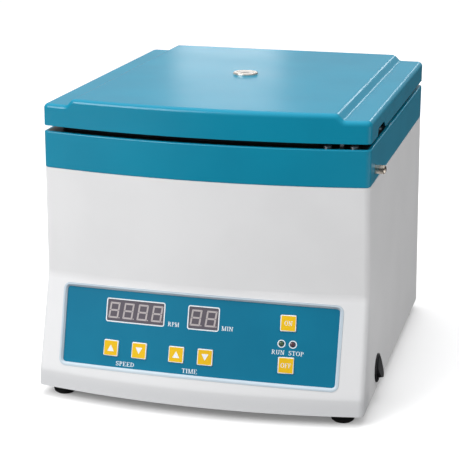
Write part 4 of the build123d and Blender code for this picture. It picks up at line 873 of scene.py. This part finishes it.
def rounded_loop(width, height, corner, grow=0.0, step=2 * mm):
    """Points round a rounded rectangle about (0, 0), no farther apart than step, grown outward."""
    loop = []
    for quarter in range(4):
        turn = quarter * math.pi / 2
        sign_x = 1 if quarter in (0, 3) else -1
        sign_y = 1 if quarter in (0, 1) else -1
        centre = Vector((sign_x * (width / 2 - corner), sign_y * (height / 2 - corner)))
        for part in range(CORNER_STEPS + 1):
            angle = turn + part / CORNER_STEPS * math.pi / 2
            outward = Vector((math.cos(angle), math.sin(angle)))
            loop.append((centre + outward * corner, outward))
    fine = []
    for (start, facing), (end, _) in zip(loop, loop[1:] + loop[:1]):
        count = max(1, math.ceil((end - start).length / step))
        fine += [tuple(start.lerp(end, i / count) + facing * grow) for i in range(count)]
    return fine


def ring_shape(x, up, width, height, corner, line):
    """Rounded outline round an opening of this size, with a line that is that wide."""
    outer = rounded_loop(width, height, corner, line)
    inner = rounded_loop(width, height, corner)
    count = len(outer)
    points = [(x + px, up + py) for px, py in outer + inner]
    faces = [(i, (i + 1) % count, count + (i + 1) % count, count + i) for i in range(count)]
    return points, faces


def disc_ring(x, up, radius, line):
    """Round outline round a hole of this radius."""
    return ring_shape(x, up, 2 * radius, 2 * radius, radius * NEARLY_ROUND, line)


print("a loop of 20 by 10 mm has", len(rounded_loop(20 * mm, 10 * mm, 2 * mm)), "points")

# %% [markdown]
# ## A small serif alphabet
#
# The panel's words are set in an old-fashioned serif letter.  Each capital is put together from a
# few strokes on a grid one unit high: thick stems with a thin foot at their ends, thin beams,
# slanting strokes and bowls that are thick at the side and thin at the top.  A font would need a
# file of its own, and its outlines are harder to press onto a bowed panel than plain quads.

# %% Strokes
STEM = 0.14
HAIR = 0.08
UPRIGHT = 0.105
SERIF = 0.32
BOWL_STEP = 20


def block(left, low, right, high):
    return [(left, low), (right, low), (right, high), (left, high)]


def serif(x, y):
    return block(x - SERIF / 2, y, x + SERIF / 2, y + HAIR)


def stem(x, feet=(0, 1), low=0.0, thickness=STEM):
    """Upright stroke with a serif at its foot (0), its head (1) or both."""
    upright = block(x - thickness / 2, low, x + thickness / 2, 1)
    return [upright] + [serif(x, foot * (1 - HAIR)) for foot in feet]


def beam(left, right, y, tick=0.0):
    """Thin level stroke; tick is the length of the small spur at its right end."""
    spur = block(right - HAIR, max(0, y + HAIR / 2 - tick), right, min(1, y - HAIR / 2 + tick))
    return [block(left, y - HAIR / 2, right, y + HAIR / 2)] + ([spur] if tick else [])


def slant(x0, y0, x1, y1, thickness=STEM):
    half = thickness / 2
    return [[(x0 - half, y0), (x0 + half, y0), (x1 + half, y1), (x1 - half, y1)]]


def bowl(x, y, half_width, half_height, start, end):
    """Curved stroke from one angle to the other, thick at its sides and thin above and below."""
    count = max(6, round((end - start) / BOWL_STEP))
    strip = []
    for i in range(count + 1):
        angle = math.radians(start + (end - start) * i / count)
        cos, sin = math.cos(angle), math.sin(angle)
        strip.append(((x + half_width * cos, y + half_height * sin),
                      (x + (half_width - STEM) * cos, y + (half_height - HAIR) * sin)))
    if end - start == 360:
        strip[-1] = strip[0]
    return [[first[0], second[0], second[1], first[1]] for first, second in zip(strip, strip[1:])]


print("stem and hairline", STEM, HAIR)

# %% [markdown]
# ## Twelve capitals
#
# The words on the panel need twelve letters.  E begins like F and R like P, so these pairs share
# their strokes.  Each entry holds the width of the letter on the same grid and its strokes, and
# every stroke is a quad, or a strip of quads, that may lie over its neighbour.

# %% Serif capitals
TOP, MIDDLE_LINE, BASE = 1 - HAIR / 2, 0.5, HAIR / 2
P_STROKES = (stem(0.18) + bowl(0.30, 0.735, 0.31, 0.265, -90, 90)
             + beam(0.18, 0.31, TOP) + beam(0.18, 0.31, MIDDLE_LINE))
F_STROKES = stem(0.18) + beam(0.18, 0.62, TOP, 0.2) + beam(0.18, 0.48, MIDDLE_LINE, 0.12)
LETTERS = {
    # letter: width, strokes
    "I": (0.36, stem(0.18)),
    "T": (0.72, stem(0.36, (0,)) + beam(0.02, 0.70, TOP, 0.2) + [block(0.02, 0.8, 0.02 + HAIR, 1)]),
    "E": (0.68, F_STROKES + beam(0.18, 0.66, BASE, 0.2)),
    "F": (0.64, F_STROKES),
    "P": (0.64, P_STROKES),
    "R": (0.80, P_STROKES + slant(0.40, 0.5, 0.66, 0) + [block(0.58, 0, 0.80, HAIR)]),
    "D": (0.78, stem(0.18) + bowl(0.28, 0.5, 0.47, 0.5, -90, 90)
          + beam(0.18, 0.29, TOP) + beam(0.18, 0.29, BASE)),
    "O": (0.80, bowl(0.40, 0.5, 0.39, 0.5, 0, 360)),
    "U": (0.80, stem(0.16, (1,), 0.32) + stem(0.62, (1,), 0.32, UPRIGHT)
          + bowl(0.38, 0.33, 0.295, 0.33, 180, 360)),
    "N": (0.82, stem(0.16, (0,), 0, UPRIGHT) + stem(0.68, (1,), 0, UPRIGHT)
          + slant(0.18, 1, 0.66, 0) + [block(0, 1 - HAIR, 0.2, 1)]),
    "M": (0.98, stem(0.16, (0, 1), 0, UPRIGHT) + stem(0.82)
          + slant(0.18, 1, 0.47, 0, 0.13) + slant(0.47, 0, 0.80, 1, HAIR)),
    "S": (0.60, bowl(0.30, 0.74, 0.27, 0.26, 35, 250) + bowl(0.30, 0.27, 0.28, 0.27, -145, 70)
          + slant(0.17, 0.60, 0.43, 0.41, 0.24)
          + [block(0.48, 0.76, 0.48 + HAIR, 1), block(0.03, 0, 0.03 + HAIR, 0.24)]),
}
print(len(LETTERS), "letters drawn")

# %% [markdown]
# ## Setting a word
#
# A word is its letters one after another, then squeezed to the width that it has on the panel.
# Strokes of one letter that meet in a corner share that point, so each bowl is one clean strip.

# %% Words
LETTER_GAP = 0.07


def lettering(words, x, up, height, width):
    """The word in capitals of this height, centred on (x, up) and exactly this wide."""
    points, faces = [], []
    pen = 0.0
    for letter in words:
        advance, strokes = LETTERS[letter]
        corners = {}
        for outline in strokes:
            for px, py in outline:
                if (px, py) not in corners:
                    corners[px, py] = len(points)
                    points.append((pen + px, py))
            faces.append(tuple(corners[corner] for corner in outline))
        pen += advance + LETTER_GAP
    pen -= LETTER_GAP
    return [(x + (px / pen - 0.5) * width, up + (py - 0.5) * height) for px, py in points], faces


print("STOP has", len(lettering("STOP", 0, 0, 4 * mm, 12 * mm)[1]), "faces")

# %% [markdown]
# ## Outlines of the windows and lamps
#
# A white line is printed round each display window and each lamp.  It begins where the opening
# of the film ends, so the same corner serves the hole and its line.

# %% Window and lamp outlines
WINDOWS = {
    # middle x, middle up, width of the opening
    "speed": (-55.8 * mm, 61.2 * mm, 51.5 * mm),
    "time": (5.0 * mm, 61.2 * mm, 25.6 * mm),
}
WINDOW_HEIGHT = 18.4 * mm
WINDOW_CORNER = 1.0 * mm
HOLE_CLEAR = 0.06 * mm
OUTLINE = 0.95 * mm
LAMP_OUTLINE = 0.8 * mm
LAMPS = {"run": (72.5 * mm, 45.8 * mm), "stop": (82.0 * mm, 45.8 * mm)}
LAMP_RADIUS = 2.5 * mm

for name, (x, up, width) in WINDOWS.items():
    opening = (width + 2 * HOLE_CLEAR, WINDOW_HEIGHT + 2 * HOLE_CLEAR)
    shape = ring_shape(x, up, *opening, WINDOW_CORNER, OUTLINE)
    make_print(f"{name}_window_outline", *shape, film_tree, "housing", white_ink, "white_shell")
for name, (x, up) in LAMPS.items():
    shape = disc_ring(x, up, LAMP_RADIUS + HOLE_CLEAR, LAMP_OUTLINE)
    make_print(f"{name}_lamp_outline", *shape, film_tree, "housing", white_ink, "white_shell")
print(len(WINDOWS) + len(LAMPS), "outlines")

# %% [markdown]
# ## Words beside the windows and keys
#
# Six short words name what the windows show and what the keys and lamps do.  They differ a
# little in width, as hand-set words do, so each has a width of its own.

# %% Words beside the windows and keys
LABEL_HEIGHT = 3.7 * mm
LABELS = {
    # middle x, middle up, width
    "RPM": (-20.8 * mm, 53.9 * mm, 10.0 * mm),
    "MIN": (26.1 * mm, 54.3 * mm, 9.8 * mm),
    "SPEED": (-62.1 * mm, 16.0 * mm, 16.8 * mm),
    "TIME": (-4.1 * mm, 15.7 * mm, 13.4 * mm),
    "RUN": (70.0 * mm, 38.5 * mm, 10.7 * mm),
    "STOP": (85.1 * mm, 38.5 * mm, 12.6 * mm),
}

for words, (x, up, width) in LABELS.items():
    shape = lettering(words, x, up, LABEL_HEIGHT, width)
    make_print(f"label_{words.lower()}", *shape, film_tree, "housing", white_ink, "white_shell")
print(len(LABELS), "words")

# %% [markdown]
# ## Keys
#
# Each key is a white cap with a yellow face printed on it, so that a white border is left, and
# an arrow or a word in white on the yellow.  A second material on the cap would need its mesh
# cut along the border, and a print needs only its outline.  The prints ride on the key's own
# body, so they go in with it when it is pressed.

# %% Key faces
KEYS = {
    # node: body, x, up, mark
    "speed_up_key": ("speed_up_button", -75.9 * mm, 28.7 * mm, "up"),
    "speed_down_key": ("speed_down_button", -50.0 * mm, 28.7 * mm, "down"),
    "time_up_key": ("time_up_button", -16.6 * mm, 28.7 * mm, "up"),
    "time_down_key": ("time_down_button", 8.7 * mm, 28.7 * mm, "down"),
    "on_key": ("on_button", 77.2 * mm, 63.2 * mm, "ON"),
    "off_key": ("off_button", 77.5 * mm, 28.0 * mm, "OFF"),
}
FACE_SIZE = (11.9 * mm, 12.3 * mm)
FACE_CORNER = 0.6 * mm
ARROW_WIDTH = 6.2 * mm
ARROW_HEIGHT = 5.6 * mm
KEY_WORD_HEIGHT = 3.9 * mm
KEY_WORD_WIDTHS = {"ON": 6.6 * mm, "OFF": 8.8 * mm}


def plate_shape(x, up, width, height, corner):
    """Filled rounded rectangle: a fan about its middle."""
    loop = rounded_loop(width, height, corner)
    points = [(x, up)] + [(x + px, up + py) for px, py in loop]
    faces = [(0, i + 1, (i + 1) % len(loop) + 1) for i in range(len(loop))]
    return points, faces


def arrow_shape(x, up, way):
    """Triangle that points up where way is 1 and down where it is -1."""
    half, tall = way * ARROW_WIDTH / 2, way * ARROW_HEIGHT / 2
    return [(x - half, up - tall), (x + half, up - tall), (x, up + tall)], [(0, 1, 2)]


for node, (body, x, up, mark) in KEYS.items():
    tree = tree_of(node)
    face = plate_shape(x, up, *FACE_SIZE, FACE_CORNER)
    make_print(f"{node}_face", *face, tree, body, key_yellow, "key_yellow")
    if mark in KEY_WORD_WIDTHS:
        shape = lettering(mark, x, up, KEY_WORD_HEIGHT, KEY_WORD_WIDTHS[mark])
    else:
        shape = arrow_shape(x, up, 1 if mark == "up" else -1)
    make_print(f"{node}_mark", *shape, tree, body, white_ink, "white_shell", 2 * INK_LIFT)
print(len(KEYS), "key faces")

# %% [markdown]
# ## Seven-segment digits
#
# A digit is seven bars and a round point, all leaning a few degrees to the right.  The outer
# bars have slanting ends, so that they nearly meet at the corners, and the waist is a plain bar.
# The same eight shapes serve for all six digits, so a loop over positions is enough.

# %% Shape of a digit
DIGIT_SIZE = (9.0 * mm, 13.7 * mm)
DIGIT_PITCH = 13.05 * mm
DIGIT_SLANT = math.tan(math.radians(6.7))
DIGIT_BASE = 54.35 * mm
BAR = 1.45 * mm
BAR_GAP = 0.12 * mm
WAIST_CUT = 0.12
POINT_RADIUS = 0.55 * mm
POINT_AHEAD = 0.9 * mm
POINT_SIDES = 12


def bar_shape(start, end, inward, first_cut=1.0, last_cut=1.0):
    """Bar whose outer edge joins two corners of the digit; a cut of 1 slants its end by 45 degrees."""
    along = (end - start).normalized()
    first, last = start + along * BAR_GAP, end - along * BAR_GAP
    return [first, last, last - along * (BAR * last_cut) + inward * BAR,
            first + along * (BAR * first_cut) + inward * BAR]


def digit_shape(left, base):
    """All bars of one digit and its point, slanted."""
    wide, tall = DIGIT_SIZE
    right, up = Vector((1, 0)), Vector((0, 1))
    foot, waist, head = 0, tall / 2, tall
    across = right * wide
    bars = [bar_shape(right * 0, across, up), bar_shape(up * head, across + up * head, -up)]
    for low, high, *cuts in ((foot, waist, 1.0, WAIST_CUT), (waist, head, WAIST_CUT, 1.0)):
        bars.append(bar_shape(up * low, up * high, right, *cuts))
        bars.append(bar_shape(across + up * low, across + up * high, -right, *cuts))
    half = BAR / 2
    ends = BAR + BAR_GAP
    bars.append([Vector(p) for p in ((ends, waist - half), (wide - ends, waist - half),
                                     (wide - ends, waist + half), (ends, waist + half))])
    centre = Vector((wide + POINT_AHEAD, POINT_RADIUS))
    circle = [i * 2 * math.pi / POINT_SIDES for i in range(POINT_SIDES)]
    bars.append([centre + Vector((math.cos(a), math.sin(a))) * POINT_RADIUS for a in circle])
    points, faces = [], []
    for outline in bars:
        faces.append(tuple(range(len(points), len(points) + len(outline))))
        points += outline
    return [(left + p.x + p.y * DIGIT_SLANT, base + p.y) for p in points], faces


print("a digit has", len(digit_shape(0, 0)[1]), "shapes")

# %% [markdown]
# ## Digits behind the windows
#
# The speed has four digits and the time two.  They are pressed onto the front of each display,
# which lies a little behind the panel, so its window frames them from every side.

# %% Digits behind the windows
DIGITS = {"speed": (-80.5 * mm, 4), "time": (-6.8 * mm, 2)}

for name, (left, count) in DIGITS.items():
    tree = tree_of(f"{name}_display")
    for place in range(count):
        shape = digit_shape(left + place * DIGIT_PITCH, DIGIT_BASE)
        make_print(f"{name}_digit_{place + 1}", *shape, tree, "housing", segment_paint, "white_shell")
print(sum(count for _, count in DIGITS.values()), "digits")

# %% [markdown]
# ## What is loaded in the carriers
#
# Each carrier holds a glass slide with a frosted end and a card of blotting paper in front of
# it.  Both lie in the carrier's own plane: its joint gives the pivot and the axis, and the
# carrier leans back from upright.  One matrix per carrier holds all of this, so the pieces can
# be drawn flat and upright, as if the carrier stood alone on a bench.

# %% The plane of a carrier
CARRIER_LEAN = math.radians(12)


def carrier_axes(joint):
    """Matrix of a carrier: x along its pivot, y up the slide, z outward through the glass."""
    along = Vector(joint["axis"]).normalized()
    outward = along.cross(Vector((0, 0, 1)))
    facing = outward * math.cos(CARRIER_LEAN) + Vector((0, 0, 1)) * math.sin(CARRIER_LEAN)
    upward = facing.cross(along)
    turn = Matrix((along, upward, facing)).transposed().to_4x4()
    return Matrix.Translation(Vector(joint["pos_m"])) @ turn


swings = [joint for joint in frame["joints"] if joint["child"].startswith("carrier_")]
print(len(swings), "carriers, lean", round(math.degrees(CARRIER_LEAN)), "degrees")

# %% [markdown]
# ## Thin slabs
#
# A slide is a sheet of glass with ground edges.  Its outline is drawn in the carrier's plane,
# Solidify gives it its thickness and Bevel its softened edges.  The card has a round hole where
# the cells go through, so its face is a ring of quads from the outline to the hole.

# %% Slab
SLAB_CORNER = 0.6 * mm
SOFT_SHARE = 0.2
PORT_RISE = 14 * mm


def slab(name, axes, size, foot, offset, material, body, hole=None):
    """Thin upright plate whose foot is at this height on the carrier, with softened edges."""
    width, height, thickness = size
    loop = rounded_loop(width, height, SLAB_CORNER)
    outline = [(px, foot + height / 2 + py) for px, py in loop]
    points = [(px, py, offset) for px, py in outline]
    count = len(points)
    if hole is None:
        faces = [tuple(range(count))]
    else:
        ring = []
        for px, py in outline:
            angle = math.atan2(py - PORT_RISE, px)
            ring.append((hole * math.cos(angle), PORT_RISE + hole * math.sin(angle), offset))
        points += ring
        faces = [(i, (i + 1) % count, count + (i + 1) % count, count + i) for i in range(count)]
    mesh = bpy.data.meshes.new(name)
    mesh.from_pydata([axes @ Vector(p) for p in points], [], faces)
    mesh.materials.append(material)
    piece = bpy.data.objects.new(name, mesh)
    scene.collection.objects.link(piece)
    skin = piece.modifiers.new("skin", "SOLIDIFY")
    skin.thickness = thickness
    skin.offset = 1.0
    soft = piece.modifiers.new("soft_edge", "BEVEL")
    soft.width = thickness * SOFT_SHARE
    soft.segments = 2
    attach(piece, body)


print("hole of a card", PORT_RISE / mm, "mm above the pivot")

# %% [markdown]
# ## Loading the carriers
#
# The same three slabs go into every carrier, so a loop over the carriers' joints loads them.
# The frosted end is a slab of its own that continues the clear glass, because a finish is
# easier to give to a piece than to a part of one.

# %% Slides and filter cards
SLIDE_WIDTH, SLIDE_HEIGHT, SLIDE_THICKNESS = 26 * mm, 76 * mm, 1.0 * mm
FROSTED = 19 * mm
CLEAR_GLASS = (SLIDE_WIDTH, SLIDE_HEIGHT - FROSTED, SLIDE_THICKNESS)
FROSTED_GLASS = (SLIDE_WIDTH, FROSTED, SLIDE_THICKNESS)
SLIDE_FOOT = -12.0 * mm
FROST_FOOT = SLIDE_FOOT + CLEAR_GLASS[1]
SLIDE_OFFSET = 2.75 * mm
CARD = (25.4 * mm, 74 * mm, 0.4 * mm)
CARD_HOLE = 3.1 * mm
CARD_OFFSET = 2.15 * mm

for joint in swings:
    body = joint["child"]
    axes = carrier_axes(joint)
    slab(f"{body}_card", axes, CARD, SLIDE_FOOT, CARD_OFFSET, blotting_paper, body,
         CARD_HOLE)
    slab(f"{body}_slide", axes, CLEAR_GLASS, SLIDE_FOOT, SLIDE_OFFSET, clear_glass, body)
    slab(f"{body}_frost", axes, FROSTED_GLASS, FROST_FOOT, SLIDE_OFFSET, frosted_end,
         body)
print(len(swings), "carriers loaded")

# %% [markdown]
# ## Screws that show
#
# The hinges and the mains inlet are held by small pan-head screws.  A head is a low dome: flat on
# top and steep at its rim.  Its half outline comes from a quarter circle whose sine and cosine
# are raised to powers under 1, which squares the circle a little.

# %% Dome of a pan head
HEAD_RADIUS = 2.3 * mm
HEAD_HEIGHT = 1.3 * mm
HEAD_SIDES = 32
DOME_STEPS = 7
SQUARED_OUT = 0.8
SQUARED_UP = 0.6


def dome_profile():
    """Half outline of a pan head, from its middle out to its seat."""
    points = []
    for step in range(DOME_STEPS + 1):
        angle = step / DOME_STEPS * math.pi / 2
        points.append((HEAD_RADIUS * math.sin(angle) ** SQUARED_OUT,
                       HEAD_HEIGHT * math.cos(angle) ** SQUARED_UP))
    return points


print("dome", [(round(radius / mm, 2), round(height / mm, 2)) for radius, height in dome_profile()])

# %% [markdown]
# ## The driver's cross
#
# Two crossed blades sink the cross into the head with Boolean modifiers.  The modifiers are
# worked out at once, so that the blades can be deleted and only the finished mesh is left.

# %% Driver's cross
CROSS_LENGTH = 2.6 * mm
CROSS_WIDTH = 0.55 * mm
CROSS_FLOOR = 0.35  # of the head's height, above its seat


def cut_cross(piece, seat):
    """Sinks the driver's cross into the head and keeps the result as its mesh."""
    for width, length in ((CROSS_WIDTH, CROSS_LENGTH), (CROSS_LENGTH, CROSS_WIDTH)):
        tool_mesh = bpy.data.meshes.new("driver_blade")
        box = [(x * width / 2, y * length / 2, z) for z in (HEAD_HEIGHT * CROSS_FLOOR, HEAD_HEIGHT * 2)
               for x, y in ((-1, -1), (1, -1), (1, 1), (-1, 1))]
        sides = [(0, 3, 2, 1), (4, 5, 6, 7), (0, 1, 5, 4), (1, 2, 6, 5), (2, 3, 7, 6), (3, 0, 4, 7)]
        tool_mesh.from_pydata([seat @ Vector(p) for p in box], [], sides)
        tool = bpy.data.objects.new("driver_blade", tool_mesh)
        scene.collection.objects.link(tool)
        cut = piece.modifiers.new("cross", "BOOLEAN")
        cut.operation = "DIFFERENCE"
        cut.object = tool
        bpy.context.view_layer.update()
        result = piece.evaluated_get(bpy.context.evaluated_depsgraph_get())
        done = bpy.data.meshes.new_from_object(result)
        piece.modifiers.clear()
        piece.data = done
        bpy.data.objects.remove(tool)


print("cross", CROSS_LENGTH / mm, "by", CROSS_WIDTH / mm, "mm")

# %% [markdown]
# ## A screw head
#
# The half outline is turned round its axis in flat sides, seated on the surface and cut.  Every
# head is turned to a different angle, as a fitter leaves them.

# %% Screw head


def screw_head(name, place, facing, turn, body, material):
    """Screw head seated at place, its top towards facing."""
    profile = dome_profile()
    points = [(0, 0, HEAD_HEIGHT)]
    faces = []
    for radius, height in profile[1:]:
        points += [(radius * math.cos(i * 2 * math.pi / HEAD_SIDES),
                    radius * math.sin(i * 2 * math.pi / HEAD_SIDES), height) for i in range(HEAD_SIDES)]
    for i in range(HEAD_SIDES):
        after = (i + 1) % HEAD_SIDES
        faces.append((0, 1 + i, 1 + after))
        for row in range(len(profile) - 2):
            low, high = 1 + row * HEAD_SIDES, 1 + (row + 1) * HEAD_SIDES
            faces.append((low + i, high + i, high + after, low + after))
    last = 1 + (len(profile) - 2) * HEAD_SIDES
    faces.append(tuple(last + i for i in reversed(range(HEAD_SIDES))))
    seat = Matrix.Translation(place) @ facing.to_track_quat("Z", "Y").to_matrix().to_4x4()
    mesh = bpy.data.meshes.new(name)
    mesh.from_pydata([seat @ Vector(p) for p in points], [], faces)
    mesh.materials.append(material)
    for polygon in mesh.polygons:
        polygon.use_smooth = len(polygon.vertices) < HEAD_SIDES
    piece = bpy.data.objects.new(name, mesh)
    scene.collection.objects.link(piece)
    cut_cross(piece, seat @ Matrix.Rotation(turn, 4, "Z"))
    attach(piece, body)


print("a head has", HEAD_SIDES, "sides")

# %% [markdown]
# ## Where the screws sit
#
# All of them face backward.  A ray from behind finds the face of each hinge leaf, so the screws
# sit on it wherever the engineering model puts it.  The screws of the lid's leaves ride on the
# lid, and those of the case's leaves stay with the case.

# %% Screws of the hinges and the inlet
BEHIND = Vector((0, 1, 0))
FAR_BEHIND = 1.0
HINGE_OFFSET = 85 * mm
LEAF_INSET = 6.0 * mm
LID_SCREW_OFFSET = 17 * mm
BODY_SCREW_OFFSET = 6 * mm
INLET_SCREW_OFFSET = 20 * mm


def back_face(tree, x, height):
    """Where a line from behind, at this x and height, meets the piece."""
    return tree.ray_cast(Vector((x, FAR_BEHIND, height)), -BEHIND)[0]


HINGE_MIDDLES = [MIDDLE + side * HINGE_OFFSET for side in (-1, 1)]
lid_leaf = tree_of("lid_hinges")
body_leaf = tree_of("body_hinges")
screw_count = 0
for middle in HINGE_MIDDLES:
    for side in (-1, 1):
        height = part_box("lid_hinges")[1].z - LEAF_INSET
        spot = back_face(lid_leaf, middle + side * LID_SCREW_OFFSET, height)
        screw_head(f"lid_hinge_screw_{screw_count}", spot, BEHIND, 0.7 * screw_count, "lid",
                   satin_steel)
        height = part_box("body_hinges")[0].z + LEAF_INSET
        spot = back_face(body_leaf, middle + side * BODY_SCREW_OFFSET, height)
        screw_head(f"body_hinge_screw_{screw_count}", spot, BEHIND, 0.4 + screw_count, "housing",
                   satin_steel)
        screw_count += 1
inlet_low, inlet_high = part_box("mains_inlet")
for side in (-1, 1):
    x = (inlet_low.x + inlet_high.x) / 2 + side * INLET_SCREW_OFFSET
    spot = Vector((x, inlet_high.y, (inlet_low.z + inlet_high.z) / 2))
    screw_head(f"inlet_screw_{(side + 3) // 2}", spot, BEHIND, 0.3 + side, "housing",
               satin_steel)
print(2 * screw_count + 2, "screws")

# %% [markdown]
